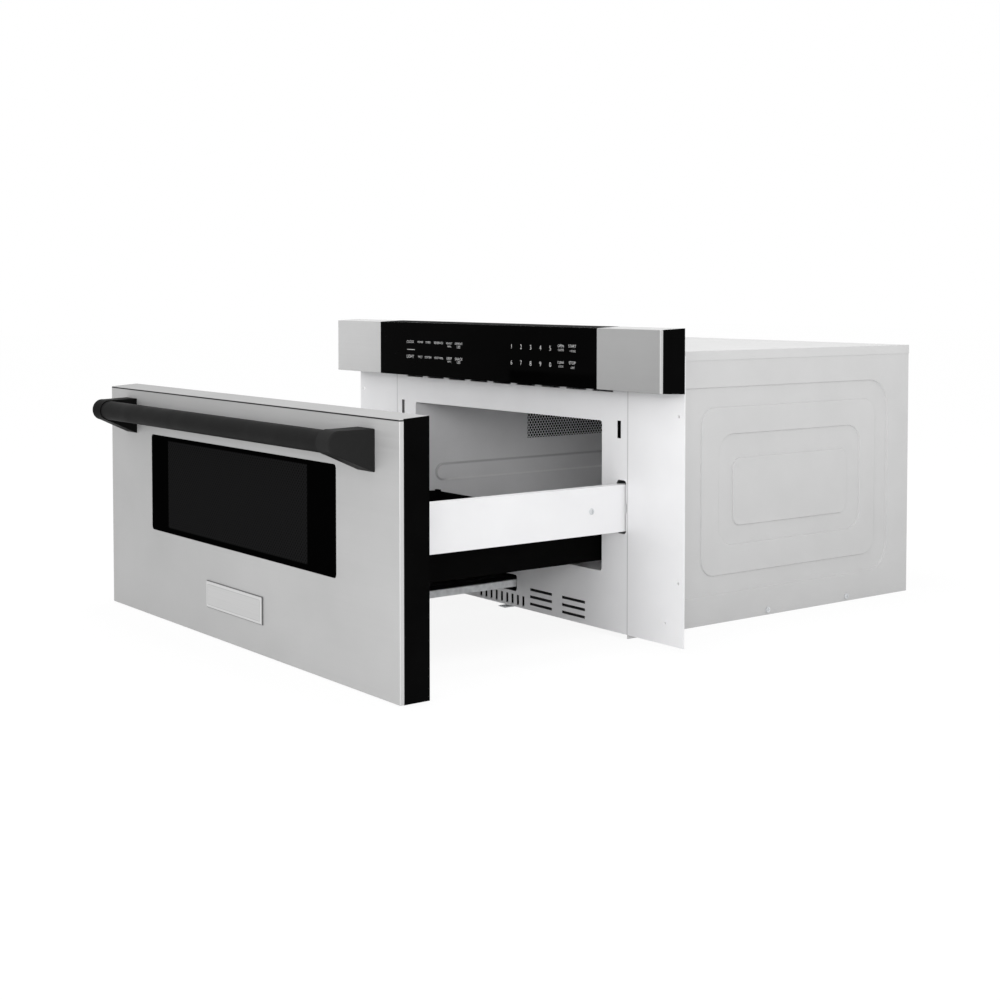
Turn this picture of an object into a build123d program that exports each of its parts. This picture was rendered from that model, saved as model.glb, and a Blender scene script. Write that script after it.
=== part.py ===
"""Built-in microwave drawer, 30 inch front on a 24 inch cabinet, drawn with the drawer fully out.

Millimetres. +X is the user's right, +Y goes back into the furniture, +Z is up. Y = 0 is the
furniture's front face, Z = 0 the shelf that the cabinet stands on, X = 0 the middle.
"""
from build123d import *
from math import atan, cos, pi, radians, sin, tan
import os

os.makedirs("parts", exist_ok=True)

# ---- driving dimensions -------------------------------------------------------------------

# front, as seen with the drawer shut
front_width = 760.0
door_bottom = 1.0             # the door hangs just clear of the shelf line
panel_height = 78.4
panel_lap = 45.5              # how far the panel hangs below the cabinet's top
panel_gap = 12.5              # door top to panel
panel_depth = 41.4            # panel face to frame face
door_depth = 38.8             # door face to door back
drawer_travel = 380.0
door_gap = 1.7                # door back to frame face when shut

# cabinet
case_width = 545.0
case_height = 372.0
case_depth = 558.5
frame_sheet = 1.2
case_sheet = 1.0
cover_sheet = 0.8
cover_lip = 12.5              # how far the top cover laps over the sides
return_width = 14.0           # folded edges of the frame, base and rear
frame_foot = 5.6              # lower edge of frame and flanges above the shelf
base_setback = 22.0           # front edge of the base behind the frame

# oven cavity, with the runners beside it, the feed above it and the electrics behind it
runner_room = 51.5            # cavity wall to the cabinet's side
cavity_floor = 82.3
roof_room = 90.0              # cavity roof to the cabinet's top
rear_room = 128.5             # cavity's rear to the cabinet's rear
cavity_sheet = 1.0
cavity_corner = 4.0

# running clearances
seat_gap = 0.3                # between pieces that slide or pass each other
part_gap = 0.2                # between fixed pieces that are fitted side by side

# ---- values worked out from them ----------------------------------------------------------

half_front = front_width / 2
half_case = case_width / 2
cavity_width = case_width - 2 * runner_room
cavity_roof = case_height - roof_room
cavity_depth = case_depth - rear_room
panel_bottom = case_height - panel_lap
door_height = panel_bottom - panel_gap - door_bottom
frame_face = -frame_sheet
door_back = frame_face - door_gap - drawer_travel
door_face = door_back - door_depth
door_top = door_bottom + door_height
panel_face = frame_face - panel_depth
panel_top = panel_bottom + panel_height
side_inner = half_case - case_sheet
rear_inner = case_depth - case_sheet
cover_under = case_height - case_sheet
half_cavity = cavity_width / 2
cavity_height = cavity_roof - cavity_floor
cavity_middle = (cavity_roof + cavity_floor) / 2
cavity_rear = cavity_depth + cavity_sheet

# ---- runners at the drawer's sides ---------------------------------------------------------

rail_outer = half_case - 5.5  # outer face of the white side rail
rail_bottom = 140.3
rail_height = 61.2
rail_width = 14.0
rail_sheet = 1.2
rail_tail = 150.0             # how far the rail still reaches behind the frame when out
rail_middle = rail_bottom + rail_height / 2

slot_side_room = 3.1          # room beside the rail in its slot
slot_inner = rail_outer - rail_width - 2.4
slot_outer = rail_outer + slot_side_room
slot_bottom = rail_bottom - 3.7
slot_top = rail_bottom + rail_height + 5.2
slot_corner = 5.0
slot_notch = rail_outer + 4.4 # lets the rail's screw heads pass
slot_notch_height = 12.0

slide_height = 45.0
slide_sheet = 1.2
slide_start = 6.0             # runner's front end behind the frame
slide_outer_length = 460.0
slide_middle_length = 428.0
slide_inner_length = 398.0

# ---- front frame: slots and vents ----------------------------------------------------------

latch_slot_x = half_case - 17.0
latch_slot_z = cavity_roof - 9.5
latch_slot_width = 7.0
latch_slot_height = 23.0

centre_slot_width = 71.2
centre_slot_bottom = 27.6
centre_slot_top = 50.9

top_vent_count = 9
top_vent_margin = 29.1        # frame's end to the first vent
top_vent_width = 42.0
top_vent_pitch = (case_width - 2 * top_vent_margin - top_vent_width) / (top_vent_count - 1)
top_vent_bottom = panel_bottom - 6.0
top_vent_height = 11.0

slit_count = 9
slit_pitch = 12.6
slit_width = 4.9
slit_bottom = 8.8
slit_height = 14.2

louvre_columns = (90.5, 161.9)
louvre_width = 49.4
louvre_height = 3.9
louvre_rows = 3
louvre_pitch = 10.15
louvre_lowest = 12.8
louvre_depth = 4.6
louvre_rise = 2.0

# ---- helpers -------------------------------------------------------------------------------


def save_pair(right_part, name):
    """Writes a right-hand piece and its mirror image for the left."""
    with BuildPart() as left:
        mirror(right_part, about=Plane.YZ)
    right_part.label = name + "_right"
    left.part.label = name + "_left"
    export_step(right_part, "parts/" + name + "_right.step")
    export_step(left.part, "parts/" + name + "_left.step")


def box(x_range, y_range, z_range, mode=Mode.ADD):
    """A block between three pairs of limits."""
    sizes = [high - low for low, high in (x_range, y_range, z_range)]
    middle = [(high + low) / 2 for low, high in (x_range, y_range, z_range)]
    with Locations(tuple(middle)):
        Box(*sizes, mode=mode)


def rod_x(x_range, y, z, radius, mode=Mode.ADD):
    """A round rod or bore along X."""
    with Locations(((x_range[0] + x_range[1]) / 2, y, z)):
        Cylinder(radius, abs(x_range[1] - x_range[0]), rotation=(0, 90, 0), mode=mode)


def rod_y(y_range, x, z, radius, mode=Mode.ADD):
    """A round rod or bore along Y."""
    with Locations((x, (y_range[0] + y_range[1]) / 2, z)):
        Cylinder(radius, abs(y_range[1] - y_range[0]), rotation=(90, 0, 0), mode=mode)


# ---- screws that hold the cabinet together: sides to base, flanges to sides ------------------

case_screw_head = 4.0
case_screw_shank = 1.9
case_screw_hole = 2.0
side_screw_z = return_width / 2 + 0.2
side_screws = ((case_depth - 299.3, side_screw_z), (case_depth - 135.4, side_screw_z))
flange_screw_y = 13.0
flange_screw_low = 60.0
flange_screw_high = case_height - 52.0
flange_screws = ((flange_screw_y, flange_screw_low),
                 (flange_screw_y, (flange_screw_low + flange_screw_high) / 2),
                 (flange_screw_y, flange_screw_high))

with BuildPart() as case_screws:
    for places, seat in ((side_screws, half_case), (flange_screws, half_case + frame_sheet)):
        for screw_y, screw_z in places:
            rod_x((seat - 6, seat), screw_y, screw_z, case_screw_shank)
            rod_x((seat, seat + 1.8), screw_y, screw_z, case_screw_head)
            box((seat + 1.0, seat + 2), (screw_y - 2.5, screw_y + 2.5),
                (screw_z - 0.5, screw_z + 0.5), Mode.SUBTRACT)
            box((seat + 1.0, seat + 2), (screw_y - 0.5, screw_y + 0.5),
                (screw_z - 2.5, screw_z + 2.5), Mode.SUBTRACT)
    mirror(about=Plane.YZ)
case_screws.part.label = "case_screws"
export_step(case_screws.part, "parts/case_screws.step")

# ---- 1. front frame ------------------------------------------------------------------------

with BuildPart() as front_frame:
    with BuildSketch(Plane.XZ):
        with Locations((0, (frame_foot + case_height) / 2)):
            Rectangle(case_width, case_height - frame_foot)
        with Locations((0, cavity_middle)):
            RectangleRounded(cavity_width, cavity_height, cavity_corner, mode=Mode.SUBTRACT)
        for side in (-1, 1):
            with Locations((side * (slot_inner + slot_outer) / 2, (slot_bottom + slot_top) / 2)):
                RectangleRounded(slot_outer - slot_inner, slot_top - slot_bottom, slot_corner,
                                 mode=Mode.SUBTRACT)
            with Locations((side * (slot_outer + slot_notch - 2) / 2, rail_middle)):
                Rectangle(slot_notch - slot_outer + 2, slot_notch_height, mode=Mode.SUBTRACT)
            with Locations((side * latch_slot_x, latch_slot_z)):
                Rectangle(latch_slot_width, latch_slot_height, mode=Mode.SUBTRACT)
        with Locations((0, (centre_slot_bottom + centre_slot_top) / 2)):
            RectangleRounded(centre_slot_width, centre_slot_top - centre_slot_bottom, 4.0,
                             mode=Mode.SUBTRACT)
        with Locations((0, top_vent_bottom + top_vent_height / 2)):
            with GridLocations(top_vent_pitch, 0, top_vent_count, 1):
                Rectangle(top_vent_width, top_vent_height, mode=Mode.SUBTRACT)
        with Locations((0, slit_bottom + slit_height / 2)):
            with GridLocations(slit_pitch, 0, slit_count, 1):
                Rectangle(slit_width, slit_height, mode=Mode.SUBTRACT)
        for column in louvre_columns:
            for row in range(louvre_rows):
                slot_z = louvre_lowest + row * louvre_pitch + louvre_height / 2
                with Locations((column, slot_z), (-column, slot_z)):
                    Rectangle(louvre_width, louvre_height, mode=Mode.SUBTRACT)
    extrude(amount=frame_sheet)
    # each louvre's blade, pressed in behind the plate and open at its top
    for column in louvre_columns:
        for side in (-1, 1):
            with BuildSketch(Plane.YZ.offset(side * column - louvre_width / 2)):
                for row in range(louvre_rows):
                    foot = louvre_lowest + row * louvre_pitch
                    with BuildLine():
                        Polyline((frame_face, foot), (frame_face + louvre_depth, foot + louvre_rise),
                                 (frame_face + louvre_depth + 0.8, foot + louvre_rise - 0.6),
                                 (0, foot - 0.6), close=True)
                    make_face()
            extrude(amount=louvre_width)
    # folded edges behind the plate, clear of the rail slots
    for low, high in ((2 * return_width, slot_bottom - 6), (slot_top + 6, cover_under)):
        with BuildSketch(Plane.XY.offset(low)):
            for side in (-1, 1):
                with Locations((side * (side_inner - frame_sheet / 2), return_width / 2)):
                    Rectangle(frame_sheet, return_width)
        extrude(amount=high - low)
    # folded lower edge, which rests on the base's front edge
    box((-side_inner + frame_sheet + part_gap, side_inner - frame_sheet - part_gap),
        (frame_face, base_setback + 6), (frame_foot, frame_foot + frame_sheet))
    for screw_y, screw_z in flange_screws:
        rod_x((-half_case, half_case), screw_y, screw_z, case_screw_hole, Mode.SUBTRACT)
front_frame.part.label = "front_frame"
export_step(front_frame.part, "parts/front_frame.step")

# ---- 2. side flanges that widen the 24 inch cabinet to the 30 inch front -------------------

flange_hole_x = half_front - 11.0
flange_hole_z = (86.5, case_height - 76.0)
flange_hole_radius = 2.4
flange_return = 22.0

with BuildPart() as flange:
    with BuildSketch(Plane.XZ):
        with Locations(((half_case + part_gap + half_front) / 2, (frame_foot + case_height) / 2)):
            Rectangle(half_front - half_case - part_gap, case_height - frame_foot)
        for hole_z in flange_hole_z:
            with Locations((flange_hole_x, hole_z)):
                Circle(flange_hole_radius, mode=Mode.SUBTRACT)
        with Locations((half_front - 35.0, 33.0)):
            Circle(1.6, mode=Mode.SUBTRACT)
    extrude(amount=frame_sheet)
    with BuildSketch(Plane.XY.offset(frame_foot)):
        with Locations((half_case + frame_sheet / 2, flange_return / 2)):
            Rectangle(frame_sheet, flange_return)
    extrude(amount=case_height - cover_lip - frame_foot - 4)
    for screw_y, screw_z in flange_screws:
        rod_x((half_case - 1, half_case + 3), screw_y, screw_z, case_screw_hole, Mode.SUBTRACT)
save_pair(flange.part, "flange")

# ---- 3. side panels with their two pressed rings -------------------------------------------

emboss_depth = 1.5
emboss_wall = 0.9
# each ring lies between an outer and an inner rounded rectangle. A rectangle is given by its
# distances from the panel's front, rear, bottom and top edges, and by its corner radius.
emboss_rings = (
    ((40.0, 47.5, 39.5, 50.0, 40.0), (131.0, 75.5, 65.5, 77.3, 24.0)),
    ((163.6, 108.5, 105.5, 114.5, 26.0), (190.4, 136.8, 131.0, 148.0, 14.0)),
)


def pressed_outline(edges, grow, mode=Mode.ADD):
    """One rounded rectangle of a pressed ring, grown all round by a wall's thickness."""
    front, rear_inset, bottom, top_inset, corner = edges
    rear = case_depth - rear_inset
    top = case_height - top_inset
    with Locations(((front + rear) / 2, (bottom + top) / 2)):
        RectangleRounded(rear - front + 2 * grow, top - bottom + 2 * grow, corner + grow, mode=mode)


with BuildPart() as side_panel:
    with BuildSketch(Plane.YZ.offset(side_inner)):
        with Locations((rear_inner / 2, cover_under / 2)):
            Rectangle(rear_inner, cover_under)
    extrude(amount=case_sheet)
    for ring_outside, ring_inside in emboss_rings:
        with BuildSketch(Plane.YZ.offset(side_inner)):
            pressed_outline(ring_outside, emboss_wall)
            pressed_outline(ring_inside, -emboss_wall, Mode.SUBTRACT)
        extrude(amount=-emboss_depth)
        with BuildSketch(Plane.YZ.offset(half_case)):
            pressed_outline(ring_outside, 0)
            pressed_outline(ring_inside, 0, Mode.SUBTRACT)
        extrude(amount=-emboss_depth, mode=Mode.SUBTRACT)
    for screw_y, screw_z in side_screws + flange_screws:
        rod_x((side_inner - 1, half_case + 1), screw_y, screw_z, case_screw_hole, Mode.SUBTRACT)
save_pair(side_panel.part, "side_panel")

# ---- 4. top cover, rear panel and base pan -------------------------------------------------

cover_slot = (half_case - 27.8, case_depth - 259.9)

with BuildPart() as top_cover:
    with BuildSketch(Plane.XY.offset(cover_under)):
        with Locations((0, case_depth / 2)):
            Rectangle(case_width + 2 * cover_sheet, case_depth)
        for side in (-1, 1):
            with Locations((side * cover_slot[0], cover_slot[1])):
                SlotOverall(14.0, 4.0, rotation=90, mode=Mode.SUBTRACT)
    extrude(amount=case_sheet)
    with BuildSketch(Plane.XY.offset(cover_under)):
        for side in (-1, 1):
            with Locations((side * (half_case + cover_sheet / 2), case_depth / 2)):
                Rectangle(cover_sheet, case_depth)
    extrude(amount=-(cover_lip - case_sheet))
top_cover.part.label = "top_cover"
export_step(top_cover.part, "parts/top_cover.step")

fan_x = -(half_case - 122.5)
fan_z = 190.0
outlet_x = half_case - 122.5
outlet_z = case_height - 122.0
gland_x = -(half_case - 47.5)
gland_z = 60.0
gland_radius = 9.0

with BuildPart() as rear_panel:
    with BuildSketch(Plane.XZ.offset(-case_depth)):
        with Locations((0, cover_under / 2)):
            Rectangle(case_width, cover_under)
        # air intake over the fan: rings of round-ended slots
        for ring_radius, slots in ((18.0, 6), (32.0, 10), (46.0, 14)):
            with Locations((fan_x, fan_z)):
                with PolarLocations(ring_radius, slots):
                    SlotOverall(12.0, 5.0, rotation=90, mode=Mode.SUBTRACT)
        # air outlet: rows of slots on the other side
        with Locations((outlet_x, outlet_z)):
            with GridLocations(46.0, 10.0, 3, 8):
                SlotOverall(38.0, 4.0, mode=Mode.SUBTRACT)
        with Locations((gland_x, gland_z)):
            Circle(gland_radius, mode=Mode.SUBTRACT)
    extrude(amount=case_sheet)
    with BuildSketch(Plane.XY.offset(return_width + 4)):
        for side in (-1, 1):
            with Locations((side * (side_inner - case_sheet / 2), rear_inner - return_width / 2)):
                Rectangle(case_sheet, return_width)
    extrude(amount=cover_under - return_width - 4)
rear_panel.part.label = "rear_panel"
export_step(rear_panel.part, "parts/rear_panel.step")

base_middle = (base_setback + rear_inner) / 2
base_length = rear_inner - base_setback
lug_half = 8.0

with BuildPart() as base_pan:
    with BuildSketch(Plane.XY):
        with Locations((0, base_middle)):
            Rectangle(2 * side_inner, base_length)
        with Locations((0, case_depth - 228.5)):
            with GridLocations(150.0, 12.0, 2, 5):
                SlotOverall(60.0, 5.0, mode=Mode.SUBTRACT)
    extrude(amount=frame_sheet)
    with BuildSketch(Plane.XY):
        for side in (-1, 1):
            with Locations((side * (side_inner - frame_sheet / 2), base_middle)):
                Rectangle(frame_sheet, base_length)
    extrude(amount=return_width)
    # lug in the middle that reaches forward under the frame
    box((-lug_half, lug_half), (frame_face, base_setback + 1), (0, frame_sheet))
    # front edge, folded up under the frame's lower edge
    with BuildSketch(Plane.XY):
        with Locations((0, base_setback + frame_sheet / 2)):
            Rectangle(2 * side_inner, frame_sheet)
    extrude(amount=frame_foot)
    for screw_y, screw_z in side_screws:
        rod_x((-half_case, half_case), screw_y, screw_z, case_screw_hole, Mode.SUBTRACT)
base_pan.part.label = "base_pan"
export_step(base_pan.part, "parts/base_pan.step")

# ---- 5. oven cavity ------------------------------------------------------------------------

rib_front = 36.0
rib_rear = cavity_depth - 35.0
rib_bottom = 159.5
rib_height = 24.5
rib_depth = 2.4
stirrer_y = cavity_depth / 2
stirrer_hole = 78.0
cavity_flange = 8.0
lamp_y = 120.0
lamp_z = (rail_bottom + rail_height + cavity_roof) / 2     # midway between runner and roof
lamp_hole = 11.0

with BuildPart() as cavity_body:
    with BuildSketch(Plane.XZ):
        with Locations((0, cavity_middle)):
            RectangleRounded(cavity_width + 2 * cavity_sheet, cavity_height + 2 * cavity_sheet,
                             cavity_corner + cavity_sheet)
    extrude(amount=-cavity_rear)
    with BuildSketch(Plane.XZ):
        with Locations((0, cavity_middle)):
            RectangleRounded(cavity_width + 2 * cavity_flange, cavity_height + 2 * cavity_flange,
                             cavity_corner + cavity_flange)
    extrude(amount=-cavity_sheet)
    with BuildSketch(Plane.XZ):
        with Locations((0, cavity_middle)):
            RectangleRounded(cavity_width, cavity_height, cavity_corner)
    extrude(amount=-cavity_depth, mode=Mode.SUBTRACT)
    # guide ribs pressed inwards in both side walls
    for side in (-1, 1):
        rib_place = ((rib_front + rib_rear) / 2, rib_bottom + rib_height / 2)
        with BuildSketch(Plane.YZ.offset(side * half_cavity)):
            with Locations(rib_place):
                SlotOverall(rib_rear - rib_front, rib_height)
        extrude(amount=-side * rib_depth)
        with BuildSketch(Plane.YZ.offset(side * (half_cavity + cavity_sheet))):
            with Locations(rib_place):
                SlotOverall(rib_rear - rib_front - 2 * cavity_sheet, rib_height - 2 * cavity_sheet)
        extrude(amount=-side * rib_depth, mode=Mode.SUBTRACT)
    # lamp hole in the right wall
    with BuildSketch(Plane.YZ.offset(half_cavity)):
        with Locations((lamp_y, lamp_z)):
            Circle(lamp_hole)
    extrude(amount=2 * cavity_sheet, mode=Mode.SUBTRACT)
    # stirrer opening in the roof
    with BuildSketch(Plane.XY.offset(cavity_roof)):
        with Locations((0, stirrer_y)):
            Circle(stirrer_hole)
    extrude(amount=2 * cavity_sheet, mode=Mode.SUBTRACT)
cavity_body.part.label = "cavity_body"
export_step(cavity_body.part, "parts/cavity_body.step")

# ---- 6. runners: fixed member, middle member and the drawer's member on each side ----------

runner_web = slot_inner + 0.6
middle_web = runner_web + 2 * slide_sheet
rail_web = rail_outer - rail_sheet
runner_half = slide_height / 2
middle_half = runner_half - slide_sheet - seat_gap - 0.05
inner_half = middle_half - slide_sheet - seat_gap - 0.05
bracket_sheet = 1.5
rail_screw_y = (-57.0, -340.0)
rail_screw_shank = 1.9
slide_tip_room = rail_web - slide_sheet - 1.0     # how far a rail screw's end reaches in


def channel(web, tip, half, sheet):
    """C section about the runner's middle line, its two lips reaching from web to tip."""
    way = 1 if tip > web else -1
    with Locations((web + way * sheet / 2, rail_middle)):
        Rectangle(sheet, 2 * half)
    for up in (-1, 1):
        with Locations(((web + tip) / 2, rail_middle + up * (half - sheet / 2))):
            Rectangle(abs(tip - web), sheet)


with BuildPart() as slide_outer:
    with BuildSketch(Plane.XZ.offset(-slide_start)):
        channel(runner_web, rail_web - 3.3, runner_half, slide_sheet)
    extrude(amount=-slide_outer_length)
save_pair(slide_outer.part, "slide_outer")

with BuildPart() as slide_middle:
    with BuildSketch(Plane.XZ.offset(drawer_travel / 2 - slide_start - 4)):
        channel(middle_web, rail_web - 2.5, middle_half, slide_sheet)
    extrude(amount=-slide_middle_length)
save_pair(slide_middle.part, "slide_middle")

with BuildPart() as slide_inner:
    with BuildSketch(Plane.XZ.offset(drawer_travel - slide_start - 2)):
        channel(rail_web, middle_web + 2 * slide_sheet, inner_half, slide_sheet)
    extrude(amount=-slide_inner_length)
    for screw_y in rail_screw_y:
        rod_x((rail_web - 2, rail_web), screw_y, rail_middle, rail_screw_shank + 0.1,
              Mode.SUBTRACT)
save_pair(slide_inner.part, "slide_inner")

with BuildPart() as drawer_rail:
    with BuildSketch(Plane.XZ.offset(-door_back)):
        channel(rail_outer, rail_outer - rail_width, rail_height / 2, rail_sheet)
    extrude(amount=-(rail_tail - door_back))
    with BuildSketch(Plane.XZ.offset(-door_back)):
        with Locations((rail_outer - rail_width / 2, rail_middle)):
            Rectangle(rail_width, rail_height)
    extrude(amount=-rail_sheet)
    for screw_y in rail_screw_y:
        rod_x((rail_web - 1, rail_outer + 1), screw_y, rail_middle, rail_screw_shank + 0.1,
              Mode.SUBTRACT)
save_pair(drawer_rail.part, "drawer_rail")

with BuildPart() as rail_screws:
    for screw_y in rail_screw_y:
        rod_x((slide_tip_room, rail_outer), screw_y, rail_middle, rail_screw_shank)
        with Locations((rail_outer + 0.8, screw_y, rail_middle)):
            Cone(4.2, 3.0, 1.6, rotation=(0, 90, 0))
        box((rail_outer + 0.7, rail_outer + 2), (screw_y - 2.2, screw_y + 2.2),
            (rail_middle - 0.45, rail_middle + 0.45), Mode.SUBTRACT)
        box((rail_outer + 0.7, rail_outer + 2), (screw_y - 0.45, screw_y + 0.45),
            (rail_middle - 2.2, rail_middle + 2.2), Mode.SUBTRACT)
    mirror(about=Plane.YZ)
rail_screws.part.label = "rail_screws"
export_step(rail_screws.part, "parts/rail_screws.step")

bracket_foot = 9.0
bracket_front = 20.0
bracket_rear = cavity_depth - 2.0
bracket_half = runner_half - 3.5

with BuildPart() as slide_bracket:
    wall = half_cavity + cavity_sheet
    with BuildSketch(Plane.XZ.offset(-bracket_front)):
        with Locations((runner_web - bracket_sheet / 2, rail_middle)):
            Rectangle(bracket_sheet, 2 * bracket_half)
        for up in (-1, 1):
            arm_z = rail_middle + up * (bracket_half - bracket_sheet / 2)
            with Locations(((wall + runner_web) / 2, arm_z)):
                Rectangle(runner_web - wall, bracket_sheet)
            with Locations((wall + bracket_sheet / 2, arm_z + up * bracket_foot / 2)):
                Rectangle(bracket_sheet, bracket_foot + bracket_sheet)
    extrude(amount=-(bracket_rear - bracket_front))
    with BuildSketch(Plane.YZ.offset(runner_web - 2)):
        with Locations(((bracket_front + bracket_rear) / 2, rail_middle)):
            with GridLocations(66.0, 0, 6, 1):
                SlotOverall(44.0, 20.0)
    extrude(amount=4, mode=Mode.SUBTRACT)
save_pair(slide_bracket.part, "slide_bracket")

# ---- 7. door -------------------------------------------------------------------------------

skin_sheet = 1.0
skin_return = 5.2
door_flare = 2.2              # the plastic frame stands proud of the skin at its rear top edge
window_width = 493.0
window_bottom = 121.9
window_drop = 60.2            # door top to window
window_height = door_top - window_drop - window_bottom
window_corner = 5.0
glass_thick = 4.0
screen_width = 375.0
screen_border = 6.7           # window's edge to the screen, above and below
screen_height = window_height - 2 * screen_border
screen_shift = -7.5
screen_middle = window_bottom + window_height / 2 + 0.9
tunnel_wall = 1.5
door_wall = 24.0
choke_width = cavity_width + 60
choke_low = cavity_floor - 22
choke_high = cavity_roof + 6
choke_depth = 18.0
door_middle = (door_bottom + door_top) / 2
window_middle = window_bottom + window_height / 2
skin_back = door_face + skin_return
top_sheet_half = half_front - 1.5
top_seam = 0.9


def top_sheet_outline(front, grow):
    """Section of the steel over the door's top: a sheet that rises with the frame's draft."""
    return ((front, door_top - skin_sheet), (front, door_top + grow),
            (skin_back, door_top + grow), (door_back + grow, door_top + door_flare + grow),
            (door_back + grow, door_top + door_flare - skin_sheet),
            (skin_back, door_top - skin_sheet))


with BuildPart() as door_skin:
    with BuildSketch(Plane.XZ.offset(-door_face)):
        with Locations((0, door_middle)):
            RectangleRounded(front_width, door_height, 1.5)
    extrude(amount=-skin_return)
    fillet(door_skin.faces().sort_by(Axis.Y)[0].outer_wire().edges(), 0.8)
    with BuildSketch(Plane.XZ.offset(-skin_back)):
        with Locations((0, door_middle)):
            Rectangle(front_width - 2 * skin_sheet, door_height - 2 * skin_sheet)
    extrude(amount=skin_return - skin_sheet, mode=Mode.SUBTRACT)
    with BuildSketch(Plane.XZ.offset(-door_face)):
        with Locations((0, window_middle)):
            RectangleRounded(window_width + part_gap, window_height + part_gap, window_corner)
    extrude(amount=-skin_return, mode=Mode.SUBTRACT)
    # the sheet over the door's top, and the open seam between it and the front sheet
    with BuildSketch(Plane.YZ.offset(-top_sheet_half)):
        with BuildLine():
            Polyline(*top_sheet_outline(skin_back - 1, 0), close=True)
        make_face()
    extrude(amount=2 * top_sheet_half)
    box((-half_front + 3, half_front - 3), (door_face - 1, door_face + skin_sheet),
        (door_top - skin_sheet - top_seam, door_top - skin_sheet), Mode.SUBTRACT)
door_skin.part.label = "door_skin"
export_step(door_skin.part, "parts/door_skin.step")

with BuildPart() as window_glass:
    with BuildSketch(Plane.XZ.offset(-door_face - part_gap)):
        with Locations((0, window_middle)):
            RectangleRounded(window_width, window_height, window_corner)
    extrude(amount=-glass_thick)
window_glass.part.label = "window_glass"
export_step(window_glass.part, "parts/window_glass.step")

glass_back = door_face + part_gap + glass_thick

with BuildPart() as door_frame:
    # body behind the skin, drafted out towards the rear
    with BuildSketch(Plane.XZ.offset(-skin_back)):
        with Locations((0, door_middle)):
            Rectangle(front_width, door_height)
    with BuildSketch(Plane.XZ.offset(-door_back)):
        with Locations((0, door_middle + door_flare / 2)):
            Rectangle(front_width, door_height + door_flare)
    loft()
    with BuildSketch(Plane.YZ.offset(-top_sheet_half - part_gap)):
        with BuildLine():
            Polyline(*top_sheet_outline(skin_back - 1, 5), close=True)
        make_face()
    extrude(amount=2 * (top_sheet_half + part_gap), mode=Mode.SUBTRACT)
    # spigot inside the skin's folded edge
    with BuildSketch(Plane.XZ.offset(-skin_back)):
        with Locations((0, door_middle)):
            Rectangle(front_width - 2 * skin_sheet - 2 * part_gap,
                      door_height - 2 * skin_sheet - 2 * part_gap)
    extrude(amount=skin_return - skin_sheet)
    # hollow from the back, leaving a front wall
    box((-half_front + door_wall, half_front - door_wall),
        (skin_back + 1, door_back + 1), (door_bottom + door_wall, door_top - door_wall),
        Mode.SUBTRACT)
    # opening behind the window, with a rebate that holds the glass
    with BuildSketch(Plane.XZ.offset(-door_face)):
        with Locations((0, window_middle)):
            RectangleRounded(window_width + part_gap, window_height + part_gap, window_corner)
    extrude(amount=-(glass_back - door_face), mode=Mode.SUBTRACT)
    with BuildSketch(Plane.XZ.offset(-door_face)):
        with Locations((0, window_middle)):
            Rectangle(window_width - 30, window_height - 5)
    extrude(amount=-door_depth, mode=Mode.SUBTRACT)
    # seat for the inner panel's edge
    box((-half_front + door_wall - 6, half_front - door_wall + 6),
        (door_back - 1.4, door_back + 1), (door_bottom + door_wall - 6, door_top - door_wall + 6),
        Mode.SUBTRACT)
door_frame.part.label = "door_frame"
export_step(door_frame.part, "parts/door_frame.step")

with BuildPart() as door_inner_panel:
    # back plate with a tunnel that carries the screen up to the glass
    with BuildSketch(Plane.XZ.offset(-door_back)):
        with Locations((0, door_middle)):
            Rectangle(front_width - 2 * door_wall + 11, door_height - 2 * door_wall + 11)
        with Locations((screen_shift, screen_middle)):
            Rectangle(screen_width, screen_height, mode=Mode.SUBTRACT)
    extrude(amount=1.2)
    with BuildSketch(Plane.XZ.offset(-door_back)):
        with Locations((screen_shift, screen_middle)):
            Rectangle(screen_width + 2 * tunnel_wall, screen_height + 2 * tunnel_wall)
            Rectangle(screen_width, screen_height, mode=Mode.SUBTRACT)
    extrude(amount=door_back - glass_back - 1.0)
    # choke flange round the opening
    with BuildSketch(Plane.XZ.offset(-door_back)):
        with Locations((0, (choke_low + choke_high) / 2)):
            Rectangle(choke_width, choke_high - choke_low)
            Rectangle(choke_width - 2 * tunnel_wall, choke_high - choke_low - 2 * tunnel_wall,
                      mode=Mode.SUBTRACT)
    extrude(amount=choke_depth)
door_inner_panel.part.label = "door_inner_panel"
export_step(door_inner_panel.part, "parts/door_inner_panel.step")

with BuildPart() as window_screen:
    with BuildSketch(Plane.XZ.offset(-glass_back - 0.1)):
        with Locations((screen_shift, screen_middle)):
            Rectangle(screen_width + 2 * tunnel_wall, screen_height + 2 * tunnel_wall)
    extrude(amount=-0.9)
window_screen.part.label = "window_screen"
export_step(window_screen.part, "parts/window_screen.step")

badge_width = 150.5
badge_height = 35.5
badge_x = -4.0
badge_z = 56.7

with BuildPart() as badge_plate:
    with BuildSketch(Plane.XZ.offset(-door_face)):
        with Locations((badge_x, badge_z)):
            Rectangle(badge_width, badge_height)
    extrude(amount=2.6)
    chamfer(badge_plate.faces().sort_by(Axis.Y)[0].edges(), 1.6)
badge_plate.part.label = "badge_plate"
export_step(badge_plate.part, "parts/badge_plate.step")

# ---- 8. handle -----------------------------------------------------------------------------

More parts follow.
